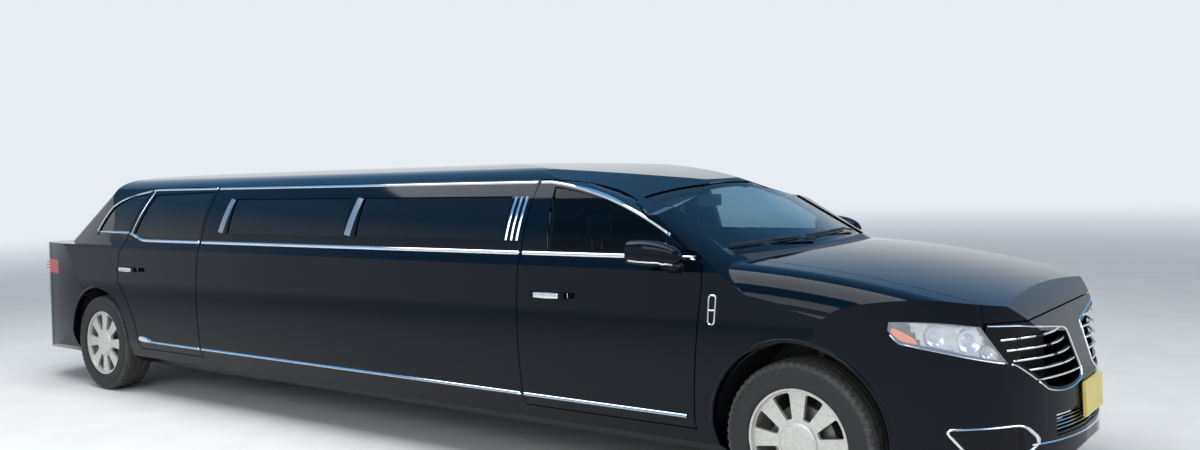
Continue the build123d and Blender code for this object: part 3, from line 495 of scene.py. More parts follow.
def settle(depths):
    """Bridges the samples along a line that fell through a seam."""
    good = []
    for i, depth in enumerate(depths):
        near = sorted(d for d in depths[max(0, i - 3):i + 4] if d is not None)
        if depth is not None and abs(depth - near[len(near) // 2]) < JUMP:
            good.append(i)
    if not good:
        return None
    out = []
    for i in range(len(depths)):
        before = max((g for g in good if g <= i), default=good[0])
        after = min((g for g in good if g >= i), default=good[-1])
        share = 0 if after == before else (i - before) / (after - before)
        out.append(depths[before] * (1 - share) + depths[after] * share)
    return out


def along(points, closed=False):
    """A function from the distance along a line to its point there, and the line's length."""
    points = [*points, points[0]] if closed else points
    total = [0.0]
    for a, b in zip(points, points[1:]):
        total.append(total[-1] + (b - a).length)

    def at(s):
        s = max(0.0, min(total[-1], s))
        k = 1
        while k < len(total) - 1 and total[k] < s:
            k += 1
        span = total[k] - total[k - 1]
        share = 0 if span == 0 else (s - total[k - 1]) / span
        return points[k - 1].lerp(points[k], share)
    return at, total[-1]


def strip(points, width, height, facing, tree, closed=False, step=0.025):
    """A rounded strip on the skin, seen along facing. Its width may be a function of the share."""
    facing = Vector(facing).normalized()
    at, length = along(points, closed)
    count = max(3, int(length / step) + 1)
    reach = min(TANGENT_REACH, length / 4)
    middles, sides, widths = [], [], []
    for i in range(count):
        s = length * i / (count if closed else count - 1)
        a, b = s - reach, s + reach
        direction = at(b % length) - at(a % length) if closed else at(b) - at(a)
        direction = (direction - facing * direction.dot(facing)).normalized()
        middles.append(at(s))
        sides.append(facing.cross(direction))
        widths.append(width(s / length) if callable(width) else width)
    lines = []
    for sign in (-0.5, 0.0, 0.5):
        line = [m + side * (w * sign) for m, side, w in zip(middles, sides, widths)]
        depths = settle([depth_at(tree, p, facing) for p in line])
        if depths is None:
            return None
        lines.append([p + facing * depth for p, depth in zip(line, depths)])
    out = []
    for a, m, b in zip(*lines):
        chord = b - a
        outward = -facing
        outward = (outward - chord * outward.dot(chord) / chord.length_squared).normalized()
        out += [a - outward * SINK, a]
        for share, lift in CROWN:
            base = a.lerp(m, share * 2) if share <= 0.5 else m.lerp(b, share * 2 - 1)
            out.append(base + outward * (height * lift))
        out += [b, b - outward * SINK]
    ring = len(out) // count
    return out, grid_faces(count, ring, closed=True) if closed else capped(count, ring)


def runs(points, facing):
    """The stretches of a line that lie on one body each, cut short of the seams."""
    at, length = along(points)
    places = steps(0, length, int(length / RUN_STEP) + 1)
    count = len(places)
    owners = [owner_at(at(s), facing) for s in places]
    found = []
    start = 0
    for i in range(1, count + 1):
        if i == count or (owners[i] != owners[start] and owners[i] is not None):
            if owners[start] is not None:
                end = places[i - 1]
                beyond = places[i] if i < count else end
                for _ in range(HALVINGS):
                    middle = (end + beyond) / 2
                    if owner_at(at(middle), facing) == owners[start]:
                        end = middle
                    else:
                        beyond = middle
                found.append((places[start], end, owners[start]))
            start = i
    kept = []
    for k, (low, high, owner) in enumerate(found):
        if high - low < SHORTEST_RUN:
            continue
        low = low + SEAM if kept else low
        high = high - SEAM if k < len(found) - 1 else high
        kept.append(([at(s) for s in steps(low, high, RUN_POINTS)], owner))
    return kept


def laid(name, points, width, height, facing, tree, look=CHROME, body="body", slot=None, both=False,
         closed=False, step=0.015):
    """A strip on one skin, as one piece or, with both, as a pair."""
    form = strip(points, width, height, facing, tree, closed, step)
    if form:
        (pair if both else piece)(name, *form, look, body, slot=slot)


def trims(name, points, width, height, look=CHROME, facing=SIDE, closed=False, both=True,
          step=0.025):
    """A trim strip, cut at the seams so that each length rides on the body it lies on."""
    stretches = [(points, owner_at(points[0], facing))] if closed else runs(points, facing)
    for k, (line, owner) in enumerate(stretches):
        label = f"{name}_{k + 1}" if len(stretches) > 1 else name
        laid(label, line, width, height, facing, body_skin[owner], look, owner, None, both, closed,
             step)


def patch(outline, facing, tree, spacing, lift=0.0):
    """A sheet inside an outline, laid on the skin along facing and lifted off it."""
    facing = Vector(facing)
    u = Vector((0, 1, 0)) if facing.x else Vector((1, 0, 0))
    v = facing.cross(u)
    flat = [Vector((p.dot(u), p.dot(v))) for p in outline]
    low = Vector((min(p.x for p in flat), min(p.y for p in flat)))
    high = Vector((max(p.x for p in flat), max(p.y for p in flat)))
    inside = list(flat)
    x = low.x + spacing / 2
    while x < high.x:
        y = low.y + spacing / 2
        while y < high.y:
            inside.append(Vector((x, y)))
            y += spacing
        x += spacing
    edges = [(i, (i + 1) % len(flat)) for i in range(len(flat))]
    verts, _, faces = delaunay_2d_cdt(inside, edges, [], 1, 1e-5)[:3]
    base = [u * p.x + v * p.y + facing * facing.dot(outline[0]) for p in verts]
    depths = settle_all([depth_at(tree, p, facing) for p in base], base)
    return [p + facing * (d - lift) for p, d in zip(base, depths)], [tuple(f) for f in faces]


def settle_all(depths, base):
    """Gives the points of a sheet that fell through a seam their nearest neighbour's depth."""
    known = [(p, d) for p, d in zip(base, depths) if d is not None]
    middle = sorted(d for _, d in known)[len(known) // 2]
    known = [(p, d) for p, d in known if abs(d - middle) < FAR_JUMP]
    return [min(known, key=lambda k: (k[0] - p).length_squared)[1]
            if d is None or abs(d - middle) >= FAR_JUMP else d for p, d in zip(base, depths)]


def solid_sheet(points, faces, thickness, inward):
    """A sheet made into a closed shell."""
    inward = Vector(inward).normalized() * thickness
    count = len(points)
    edges = dict.fromkeys((a, b) for face in faces for a, b in zip(face, face[1:] + face[:1]))
    walls = [(a + count, b + count, b, a) for a, b in edges if (b, a) not in edges]
    back = [tuple(i + count for i in reversed(face)) for face in faces]
    return [*points, *(p + inward for p in points)], [*faces, *back, *walls]


def revolve(profile, centre, count=64, cut=None):
    """A profile of (out, radius) turned round a line along y. A cut lowers single points."""
    points = []
    for i in range(count):
        angle = FULL_TURN * i / count
        for k, (out, radius) in enumerate(profile):
            r = radius - cut(i, k) if cut else radius
            points.append(Vector((centre[0] + r * math.cos(angle), centre[1] - out,
                                  centre[2] + r * math.sin(angle))))
    return points, grid_faces(count, len(profile), closed=True)


def rounded_ring(middle, side, up, half_a, half_b, power, count, start=0.0):
    """A ring of points between an ellipse, at power 1, and a box, at power 0."""
    ring = []
    for j in range(count):
        angle = FULL_TURN * (j + start) / count
        c, s = math.cos(angle), math.sin(angle)
        ring.append(middle + side * (half_a * math.copysign(abs(c) ** power, c))
                    + up * (half_b * math.copysign(abs(s) ** power, s)))
    return ring


def sweep_bar(line, half_a, half_b, up_hint=UP, power=0.5, count=16):
    """A bar with rounded-box sections along a line. Half sizes may vary along it."""
    points = []
    line = [Vector(p) for p in line]
    for i, p in enumerate(line):
        direction = (line[min(i + 1, len(line) - 1)] - line[max(i - 1, 0)]).normalized()
        side = direction.cross(Vector(up_hint)).normalized()
        up = side.cross(direction).normalized()
        a = half_a[i] if isinstance(half_a, list) else half_a
        b = half_b[i] if isinstance(half_b, list) else half_b
        points += rounded_ring(p, side, up, a, b, power, count, 0.5)
    return points, capped(len(line), count)


def bar(name, line, half_a, half_b, look, power=0.25, hint=UP):
    return piece(name, *sweep_bar(line, half_a, half_b, hint, power), look)


# ---- side trims

tail = smooth_line(xz([(-2.26, 1.184), (-2.34, 1.19), (-2.42, 1.212), (-2.5, 1.232),
                       (-2.6, 1.239), (-2.85, 1.24), (-3.06, 1.237)]))
belt = smooth_line(xz([(-2.26, 1.184), (-1.0, 1.184), (0.0, 1.184), (1.5, 1.184), (2.632, 1.186)]))
top_tail = smooth_line(xz([(-2.33, 1.56), (-2.45, 1.548), (-2.64, 1.517), (-2.8, 1.474),
                           (-2.95, 1.386), (-3.045, 1.298), (-3.085, 1.243)]))
top = smooth_line(xz([(-2.33, 1.56), (-1.0, 1.56), (0.4, 1.56), (1.5, 1.56), (1.617, 1.557)]))
top_arc = xz(arc((1.617, 1.557), (2.146, 1.431), (2.612, 1.196)))
trims("top_chrome", top_tail[::-1] + top[1:] + top_arc[1:], 0.015, 0.0045)
trims("belt_chrome", tail[::-1] + belt[1:], 0.019, 0.006)
trims("divider_chrome", xz([(-2.4845, 1.24), (-2.3635, 1.545)]), 0.01, 0.003)
trims("lower_chrome", smooth_line(xz([(-2.3325, 0.436), (-2.26, 0.434), (-2.1, 0.43),
                                      (0.0, 0.43), (2.5535, 0.43)])), 0.017, 0.007)


def teardrop_width(share):
    return 0.01 + 0.034 * math.sin(math.pi * min(1, 0.18 + share * 0.82)) ** 0.8


trims("teardrop", xz([(-2.335, 0.448), (-2.3, 0.446), (-2.24, 0.441), (-2.18, 0.437)]),
      teardrop_width, 0.01, step=0.012)
for k, (low, high) in enumerate([(-1.33, -1.29), (0.03, 0.07)]):
    trims(f"pillar_plate_{k + 1}", xz([(low, 1.256), (high, 1.484)]), 0.056, 0.003, SILVER,
          step=0.02)
for k, x in enumerate((1.3705, 1.4105, 1.4505)):
    trims(f"pillar_bar_{k + 1}", xz([(x, 1.25), (x + 0.012, 1.484)]), 0.017, 0.005, step=0.02)

# The body's raised panel under the belt trim's step, over the foot of the rear glass
FILLER_LOW_Z = 1.186
for label, low_x, high_x, owner in (("quarter_filler", -3.075, -2.545, "body"),
                                    ("door_filler", -2.522, -2.33, "rear_door_right")):
    edge = [p for p in tail if low_x <= p.x <= high_x]
    feet = xz([(edge[-1].x, FILLER_LOW_Z), (edge[0].x, FILLER_LOW_Z)])
    form = patch([feet[0], *reversed(edge), feet[1]], SIDE, body_skin[owner], 0.03, 0.0025)
    pair(label, *solid_sheet(*form, THICK_SHEET_T, SIDE), PAINT, owner)

# The place of the fender's badge: a plain frame with two dark panes
badge = rounded([(2.693, 0.882), (2.727, 0.88), (2.737, 1.017), (2.699, 1.017)], 0.014)
trims("vent_frame", xz(badge), 0.01, 0.006, closed=True, step=0.008)
trims("vent_pane", xz([(2.711, 0.888), (2.717, 1.01)]), 0.032, 0.002, BLACK_GLOSS)
trims("vent_bar", xz([(2.698, 0.947), (2.731, 0.948)]), 0.01, 0.004)

# Door handles, which stand off the door between their two feet
HANDLE_REACH = 0.032
for label, low_x, high_x, y, z in (("front", 1.612, 1.852, -0.9935, 0.975),
                                   ("rear", -2.558, -2.308, -0.9915, 0.968)):
    line, deep, tall = [], [], []
    for t in steps(0, 1, 24):
        rise = min(1, 6.0 * min(t, 1 - t))
        ease = rise * rise * (3 - 2 * rise)
        line.append((low_x + (high_x - low_x) * t, y + HANDLE_REACH * (1 - ease), z))
        swell = max(math.sin(math.pi * t), 0)
        deep.append(0.0092 + 0.0012 * swell)
        tall.append(0.0135 + 0.0035 * swell ** 0.5)
    pair(f"{label}_handle", *sweep_bar(line, deep, tall), CHROME, f"{label}_door_right")

# ---- headlamps

INWARD = Vector((-0.55, 0.83, 0))
BOWL_DEPTH = 0.034
LAMP_OUTLINE = [(3.968, 0.744), (3.76, 0.806), (3.592, 0.846), (3.55, 0.9),
                *arc((3.556, 0.938), (3.73, 0.936), (3.885, 0.912), 0.03)]
lamp_skin = skin_of("headlamps", "fenders", "front_bumper", "hood")
lens_line = densify(inset(LAMP_OUTLINE, 0.002))
lens = patch(xz(lens_line), SIDE, lamp_skin, 0.018)
pair("headlamp_lens", *solid_sheet(*lens, SHEET_T, INWARD), LENS, replaced="headlamps")

# The lamp's bowl: a bright rippled floor that is black at its rear end, and dark rim walls
bowl_points, bowl_faces = patch(xz(densify(inset(LAMP_OUTLINE, 0.012))), SIDE, lamp_skin, 0.016)
bowl = []
for p in bowl_points:
    wave = 0.004 * math.sin(p.x * 95) + 0.003 * math.sin(p.z * 130 + p.x * 40)
    bowl.append(p + INWARD * (BOWL_DEPTH + wave))
pair("headlamp_bowl", *solid_sheet(bowl, bowl_faces, SHEET_T, INWARD), REFLECTOR,
     second=BLACK_GLOSS, pick=lambda p: int(p.x < 3.655 - (p.z - 0.86) * 0.6))


def in_lamp(x, z, back_by):
    """A point behind the lamp's skin."""
    point = Vector((x, 0, z))
    return point + Vector(SIDE) * depth_at(lamp_skin, point, SIDE) + INWARD * back_by


rim = [in_lamp(x, z, 0.003) for x, z in lens_line]
pair("headlamp_wall", rim + [p + INWARD * 0.036 for p in rim], grid_faces(2, len(rim)), BLACK_GLOSS)
marker = rounded([(3.566, 0.915), (3.562, 0.892), (3.6, 0.856), (3.668, 0.842), (3.648, 0.872),
                  (3.612, 0.893)], 0.012, 3)
form = patch(xz(densify(marker, 0.015)), SIDE, lamp_skin, 0.012, -0.005)
pair("marker_lamp", *solid_sheet(*form, THICK_SHEET_T, INWARD), AMBER)

# Three round reflectors with bright cores, facing out of the lamp
REFLECTOR_PROFILE = [(0.02, 0.0), (0.22, 0.02), (0.3, 0.55), (0.36, 0.55), (0.4, 0.03),
                     (0.66, 0.24), (0.92, 0.8), (1.0, 0.86), (1.0, 0.7)]
REFLECTOR_SIDES = 28
out = -INWARD.normalized()
u = out.cross(Vector(UP)).normalized()
v = u.cross(out)
for k, (x, z, radius, depth) in enumerate([(3.735, 0.872, 0.042, 0.022),
                                           (3.85, 0.85, 0.05, 0.022),
                                           (3.905, 0.8, 0.026, 0.016)]):
    centre = in_lamp(x, z, 0.01 + depth)
    points = []
    for share, high in REFLECTOR_PROFILE:
        r = radius * share
        points += rounded_ring(centre + out * depth * high, u, v, r, r, 1, REFLECTOR_SIDES)
    faces = [*grid_faces(len(REFLECTOR_PROFILE), REFLECTOR_SIDES), tuple(range(REFLECTOR_SIDES))]
    pair(f"lamp_reflector_{k + 1}", points, faces, REFLECTOR)
trims("lamp_chrome", xz([(3.56, 0.882), (3.59, 0.847), (3.76, 0.807), (3.955, 0.749)]), 0.007,
      0.004)

# ---- grilles and fog lamps

wing_low = arc((-0.098, 0.64), (-0.2, 0.603), (-0.42, 0.616), 0.03)
WING_OUTLINE = [(-0.575, 0.905), (-0.12, 0.842), *wing_low, (-0.585, 0.738)]
WING_FOOT_Z = 0.744
WING_DEEP = 0.3
WING_BAR_HALF = 0.0038
WING_BAR_LIFT = 0.001
FIT_NEAR = 0.012
wing_skin = skin_of("grille_wings", "front_bumper", "fenders", "headlamps")
bumper_skin = skin_of("front_bumper")
wing_line = [(-0.688, 0.912), (-0.575, 0.905), (-0.14, 0.845), (-0.118, 0.826), (-0.098, 0.66),
             *wing_low[1:], (-0.585, 0.738), (-0.603, 0.744)]
laid("wing_chrome", yz(wing_line), 0.008, 0.005, FRONT, wing_skin, both=True)
infill = densify([(-0.572, 0.903), (-0.694, 0.91), (-0.606, 0.747), (-0.582, 0.738)])
form = patch(yz(infill), FRONT, wing_skin, 0.02, 0.0015)
pair("wing_infill", *solid_sheet(*form, SHEET_T, FRONT), BLACK_GLOSS)


def wing_width(z):
    """Where a level line crosses the wing's outline."""
    found = [y1 + (y2 - y1) * (z - z1) / (z2 - z1)
             for (y1, z1), (y2, z2) in zip(WING_OUTLINE, WING_OUTLINE[1:] + WING_OUTLINE[:1])
             if (z1 - z) * (z2 - z) < 0]
    return min(found), max(found)


def fitted_bar(name, low, high, z):
    """A bar that follows the nose as one smooth curve, fitted to where it meets it."""
    places = steps(low, high, 24)
    found = [(y, depth_at(wing_skin, Vector((NOSE_X, y, z)), FRONT)) for y in places]
    nearest = min(d for _, d in found if d is not None)
    ys, ds = np.array([(y, d) for y, d in found if d is not None and d < nearest + WING_DEEP]).T
    fit = np.polyfit(ys, ds, 2)
    for _ in range(3):
        near = np.abs(np.polyval(fit, ys) - ds) < FIT_NEAR
        if near.sum() > 6:
            fit = np.polyfit(ys[near], ds[near], 2)
    line = [Vector((NOSE_X - float(np.polyval(fit, y)) + WING_BAR_LIFT, y, z)) for y in places]
    pair(name, *sweep_bar(line, WING_BAR_HALF, WING_BAR_HALF * 1.15, UP, 0.8, 10), CHROME)


for row in range(5):
    z = 0.662 + 0.047 * row
    low, high = wing_width(z)
    if z > WING_FOOT_Z:  # there the bars run on under the headlamp's front end
        low = -0.6 - (z - WING_FOOT_Z) * 0.58
    fitted_bar(f"wing_bar_{row + 1}", low + 0.01, high - 0.012, z)

FOG = [(3.757, 0.476), (4.006, 0.474), (4.046, 0.4), (3.99, 0.345), (3.86, 0.345)]
laid("fog_chrome", xz(densify(rounded(inset(FOG, -0.0075), 0.03))), 0.01, 0.006, SIDE, bumper_skin,
     both=True, closed=True)
lower_skin = skin_of("lower_grille", "front_bumper")
for row in range(4):
    z = 0.43 + 0.016 * row
    laid(f"lower_bar_{row + 1}", yz([(-0.365, z), (0.365, z)]), 0.005, 0.003, FRONT, lower_skin,
         step=0.04)
laid("lower_chrome_front", yz([(-0.52, 0.39), (-0.36, 0.384), (0, 0.38), (0.36, 0.384),
                               (0.52, 0.39)]), 0.009, 0.005, FRONT, bumper_skin, step=0.03)

# ---- wheels and arch lips

for label, x, z, radius, start, end in (("front_lip", FRONT_AXLE_X, 0.4, 0.434, -8, 188),
                                        ("rear_lip", REAR_AXLE_X, 0.394, 0.42, -10, 190)):
    arch = [(x + radius * math.cos(a), z + radius * math.sin(a))
            for a in map(math.radians, steps(start, end, 80))]
    trims(label, xz(arch), 0.016, 0.0045, PAINT)

TREAD_BLOCKS = 60
BLOCK_STEPS = 4
TREAD_EDGE_R = TYRE_R - 0.024
NOTCHED = range(9, 13)  # the shoulder's points in the profile, counted from the rim


def tyre_form(centre):
    """A tyre whose shoulders are cut into blocks and whose tread has four grooves."""
    side = [(TYRE_HALF - a, RIM_R + b) for a, b in (
        (0.014, 0), (0.005, 0.007), (0.0022, 0.018), (0.0006, 0.03), (0.0024, 0.034),
        (0.0004, 0.05), (0.0004, 0.066))]
    side += [(TYRE_HALF - a, TYRE_R - b) for a, b in (
        (0.0035, 0.036), (0.0055, 0.031), (0.0065, 0.026), (0.011, 0.0125), (0.017, 0.006),
        (0.03, 0.0016))]
    for y in (0.062, 0.022):
        side += [(y + a, TYRE_R - b) for a, b in (
            (0.005, 0.0006), (0.004, 0.007), (-0.004, 0.007), (-0.005, 0.0002))]
    profile = side + [(-out, r) for out, r in reversed(side)]

    def notch(i, k):
        from_rim = min(k, len(profile) - 1 - k)
        if i % BLOCK_STEPS or from_rim not in NOTCHED:
            return 0.0
        return 0.0085 if from_rim < NOTCHED[-1] else 0.005
    return revolve(profile, centre, TREAD_BLOCKS * BLOCK_STEPS, notch)


SPOKES = 8
DISC_R = 0.952 * RIM_R
DISC_OUT = 0.09
DISC_THICK = 0.02


def spoke_windows():
    """The rounded outlines of the windows between the spokes, as pairs round the axle."""
    inner_r, outer_r = 0.44 * RIM_R, 0.915 * RIM_R
    corners = [(inner_r, -0.145), (outer_r, -0.205), (outer_r * 1.005, 0), (outer_r, 0.205),
               (inner_r, 0.145), (inner_r * 0.985, 0)]
    outlines = []
    for k in range(SPOKES):
        middle = math.pi / SPOKES + FULL_TURN * k / SPOKES
        flat = [(r * math.cos(middle + a), r * math.sin(middle + a)) for r, a in corners]
        outlines.append(densify(rounded(flat, 0.014, 4), 0.012))
    return outlines


def inside_line(p, line, margin=0.0):
    """Whether a point lies in a closed line, or nearer than margin to one of its points."""
    inside = False
    for (x1, y1), (x2, y2) in zip(line, line[1:] + line[:1]):
        if (y1 > p.y) != (y2 > p.y) and p.x < (x2 - x1) * (p.y - y1) / (y2 - y1) + x1:
            inside = not inside
        if margin and (Vector((x1, y1)) - p).length < margin:
            return True
    return inside


def round_line(radius, count, start=0.0):
    angles = [FULL_TURN * (i + start) / count for i in range(count)]
    return [Vector((radius * math.cos(a), radius * math.sin(a))) for a in angles]


def spoke_disc():
    """The flat points and faces of the disc round its windows."""
    windows = spoke_windows()
    points, edges = [], []
    for line in [round_line(DISC_R, 96), *windows]:
        base = len(points)
        points.extend(Vector(p) for p in line)
        edges.extend((base + i, base + (i + 1) % len(line)) for i in range(len(line)))
    for share in (0.1, 0.2, 0.3, 0.385, 0.55, 0.7, 0.85):
        points.extend(p for p in round_line(share * RIM_R, 48, 0.5)
                      if not any(inside_line(p, w, 0.006) for w in windows))
    verts, _, faces = delaunay_2d_cdt(points, edges, [], 0, 1e-6)[:3]
    kept = []
    for face in faces:
        middle = sum((verts[i] for i in face), Vector((0, 0))) / len(face)
        if middle.length < DISC_R and not any(inside_line(middle, w) for w in windows):
            kept.append(tuple(face))
    return verts, kept


disc_points, disc_faces = spoke_disc()


def disc_form(centre):
    """The wheel's dished face with its eight windows."""
    front = []
    for p in disc_points:
        share = p.length / RIM_R
        out = DISC_OUT + 0.0036 * math.cos(share * math.pi) - (0.002 if share > 0.93 else 0)
        front.append(Vector((centre[0] + p.x, centre[1] - out, centre[2] + p.y)))
    return solid_sheet(front, disc_faces, DISC_THICK, SIDE)


# Profiles of the wheel's turned pieces, as (out, radius)
CAP = [(0.07, 0.0935), (0.0955, 0.0935), (0.0985, 0.0905), (0.1015, 0.08), (0.1045, 0.06),
       (0.106, 0.035), (0.1065, 0.01), (0.1065, 0.001)]
BARREL = [(out, RIM_R - under) for out, under in (
    (-0.1, 0), (-0.104, 0.004), (-0.098, 0.012), (0.06, 0.016), (0.092, 0.012),
    (0.1015, 0.0105), (0.1035, 0.006), (0.1035, 0.001), (0.098, 0))]
BRAKE = [(0.03, 0.06), (0.03, 0.158), (0.022, 0.16), (0.004, 0.16), (-0.004, 0.158),
         (-0.004, 0.06)]
DRUM = [(0.07, 0.012), (0.07, 0.06), (0.03, 0.072), (-0.045, 0.072), (-0.05, 0.012)]

for end, axle_x in (("front", FRONT_AXLE_X), ("rear", REAR_AXLE_X)):
    centre = (axle_x, -TYRE_Y, TYRE_R)
    wheel = f"wheel_{end}_right"
    pair(f"tyre_look_{end}", *tyre_form(centre), TYRE, wheel, f"tyre_{end}_right", sharp=50,
         second=TREAD,
         pick=lambda p, x=axle_x: int(math.hypot(p.x - x, p.z - TYRE_R) > TREAD_EDGE_R))
    pair(f"wheel_face_{end}", *disc_form(centre), ALLOY, wheel, f"rim_{end}_right", sharp=32)
    for label, profile, sides, look, sharp in (("wheel_barrel", BARREL, 64, ALLOY, SHARP),
                                               ("wheel_cap", CAP, 48, ALLOY, 50),
                                               ("wheel_hub", DRUM, 40, CAST, SHARP),
                                               ("brake_disc", BRAKE, 48, STEEL, SHARP)):
        pair(f"{label}_{end}", *revolve(profile, centre, sides), look, wheel, sharp=sharp)

# ---- mirrors

MIRROR_SIDES = 28
MIRROR_Y = -1.029
MIRROR_Z = 1.216
DOOR = "front_door_right"

# Rings of the shell from its open rear face to its rounded nose
rings = []
for t in steps(0, 1, 14):
    if t < 0.25:
        swell = 0.9 + 0.1 * (t / 0.25)
    else:
        swell = max((1 - ((t - 0.25) / 0.75) ** 2.4) ** 0.5, 0.12)
    middle = Vector((2.308 + 0.292 * t, MIRROR_Y + 0.012 * t * t, MIRROR_Z - 0.02 * t * t))
    ring = rounded_ring(middle, Vector(SIDE), Vector(UP), 0.057 * swell, 0.064 * swell, 0.62,
                        MIRROR_SIDES)
    for j, p in enumerate(ring):
        p.x += 0.01 * max(math.sin(FULL_TURN * j / MIRROR_SIDES), 0) * (1 - t)
    rings.append(ring)


def mirror_edge(x, share):
    """The shell's rear edge, drawn in to a share of its size."""
    return [Vector((x, p.y * share + MIRROR_Y * (1 - share), p.z * share + MIRROR_Z * (1 - share)))
            for p in rings[0]]


glass_edge = mirror_edge(2.324, 0.88)
points = glass_edge + mirror_edge(2.316, 0.9) + [p for ring in rings for p in ring]
faces = grid_faces(len(points) // MIRROR_SIDES, MIRROR_SIDES)
faces.append(tuple(reversed(range(len(points) - MIRROR_SIDES, len(points)))))
pair("mirror_shell", points, faces, PAINT, DOOR, "mirror_right", sharp=45)
glass = [p + Vector((x, 0, 0)) for x in (0.0015, 0.006) for p in glass_edge]
pair("mirror_glass", glass, capped(2, MIRROR_SIDES), CHROME, DOOR)
line = []
for ring in rings[1:13]:
    outer = min(ring, key=lambda p: abs(p.z - (ring[0].z - 0.038))
                + (10 if p.y > ring[0].y - 0.02 else 0))
    line.append(outer - Vector((0, 0.0005, 0)))
pair("mirror_line", *sweep_bar(smooth_line(line, 0.01), 0.003, 0.0035), CHROME, DOOR)
foot = smooth_line([(2.5, -0.905, 1.13), (2.492, -0.945, 1.14), (2.478, -0.985, 1.158),
                    (2.47, -1.015, 1.18)], 0.012)
shares = [k / (len(foot) - 1) for k in range(len(foot))]
pair("mirror_foot", *sweep_bar(foot, [0.062 - 0.02 * s for s in shares],
                               [0.03 - 0.01 * s for s in shares], UP, 0.7), BLACK_GLOSS, DOOR)

# ---- seats

BACK_TILT = math.radians(-78.5)
BASE_TILT = 0.05
CUSHION_POWER = 6
CUSHION_PULL = 0.045
CUSHION_EDGE = 0.8
CREASE = 0.0012
SEAM_DEPTH = 0.01
SEAM_WIDTH = 0.012


def cushion(name, stands_for, centre, half, tilt=0.0, channels=(), cuts=15):
    """A crowned cushion in half sizes, pulled in between its corners, with sewn channels."""
    form = bmesh.new()
    bmesh.ops.create_cube(form, size=2.0)
    bmesh.ops.subdivide_edges(form, edges=form.edges[:], cuts=cuts, use_grid_fill=True)
    spin = Matrix.Rotation(tilt, 3, "Y")
    for vert in form.verts:
        sizes = [abs(c) for c in vert.co]
        norm = sum(size ** CUSHION_POWER for size in sizes) ** (1 / CUSHION_POWER)
        x, y, z = (c * max(sizes) / norm for c in vert.co)
        crown = (1 - x * x) * (1 - y * y)
        pull = CUSHION_PULL * (1 - z * z)
        px = x * half[0] * (1 - pull * (1 - y * y))
        py = y * half[1] * (1 - pull * (1 - x * x))
        pz = z * half[2] * (CUSHION_EDGE + (1 - CUSHION_EDGE) * crown)
        if z > 0.2:
            for axis, place in channels:
                away = (py if axis == "y" else px) - place
                pz -= SEAM_DEPTH * math.exp(-(away / SEAM_WIDTH) ** 2)
        if z > 0.5:
            pz += CREASE * math.sin(px * 47 + py * 31 + centre[0] * 9)
        vert.co = Vector(centre) + spin @ Vector((px, py, pz))
    obj = finished(name, bpy.data.meshes.new(name), form, LEATHER, "body")
    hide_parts(stands_for)


for side, y in (("right", -0.38), ("left", 0.38)):
    cushion(f"front_base_{side}", "front_seats", (1.985, y, 0.555), (0.23, 0.25, 0.066),
            BASE_TILT, (("y", -0.13), ("y", 0.13)))
    cushion(f"front_back_{side}", "front_seats", (1.64, y, 0.865), (0.265, 0.245, 0.066),
            BACK_TILT, (("y", -0.13), ("y", 0.13), ("x", 0.1)))
    cushion(f"front_rest_{side}", "front_seats", (1.605, y, 1.302), (0.084, 0.126, 0.043),
            math.radians(-80), cuts=9)
    bar(f"front_plinth_{side}", [(x, y, 0.385) for x in (1.725, 1.8, 2.05, 2.135)], 0.195, 0.1,
        TRIM)
    for label, away in (("a", -0.045), ("b", 0.045)):
        bar(f"rest_post_{side}_{label}", [(1.6, y + away, 1.1), (1.604, y + away, 1.17),
                                          (1.605, y + away, 1.24)], 0.006, 0.006, STEEL, 1.0, REAR)
for k, y in enumerate((-0.498, 0.0, 0.498)):
    cushion(f"bench_base_{k + 1}", "lounge_seats", (-2.035, y, 0.525), (0.235, 0.244, 0.066),
            BASE_TILT, (("x", 0.07),))
    cushion(f"bench_back_{k + 1}", "lounge_seats", (-2.365, y, 0.835), (0.265, 0.244, 0.062),
            BACK_TILT, (("x", -0.06), ("x", 0.1)))
bar("bench_plinth", [(-2.085, y, 0.37) for y in (-0.74, -0.3, 0.3, 0.74)], 0.21, 0.088, TRIM)
for k in range(5):
    x = -1.16 + 0.52 * k
    cushion(f"side_base_{k + 1}", "lounge_seats", (x, 0.545, 0.528), (0.256, 0.15, 0.06), 0.0,
            (("x", -0.085), ("x", 0.085)))
    cushion(f"side_back_{k + 1}", "lounge_seats", (x, 0.7, 0.8), (0.256, 0.048, 0.205))
bar("side_plinth", [(x, 0.565, 0.373) for x in (-1.415, -0.5, 0.5, 1.175)], 0.18, 0.09, TRIM)

# ---- windscreen and wipers

glass_skin = skin_of("windscreen")
frit_line = [(-0.748, 1.215), *arc((-0.65, 1.455), (0.0, 1.512), (0.65, 1.455), 0.04),
             (0.748, 1.215),
             *((y, 1.2 - 0.004 * abs(y)) for y in steps(0.7, -0.7, 7))]
laid("windscreen_border", yz(densify(frit_line, 0.03)), 0.026, 0.0008, FRONT, glass_skin,
     BLACK_GLOSS, slot="seal", closed=True, step=0.03)


def screen_point(y, z, lift):
    """A point lifted off the windscreen, square to its slope."""
    depth = depth_at(glass_skin, Vector((NOSE_X, y, z)), FRONT)
    return Vector((NOSE_X - depth + lift * 0.5, y, z + lift * 0.86))


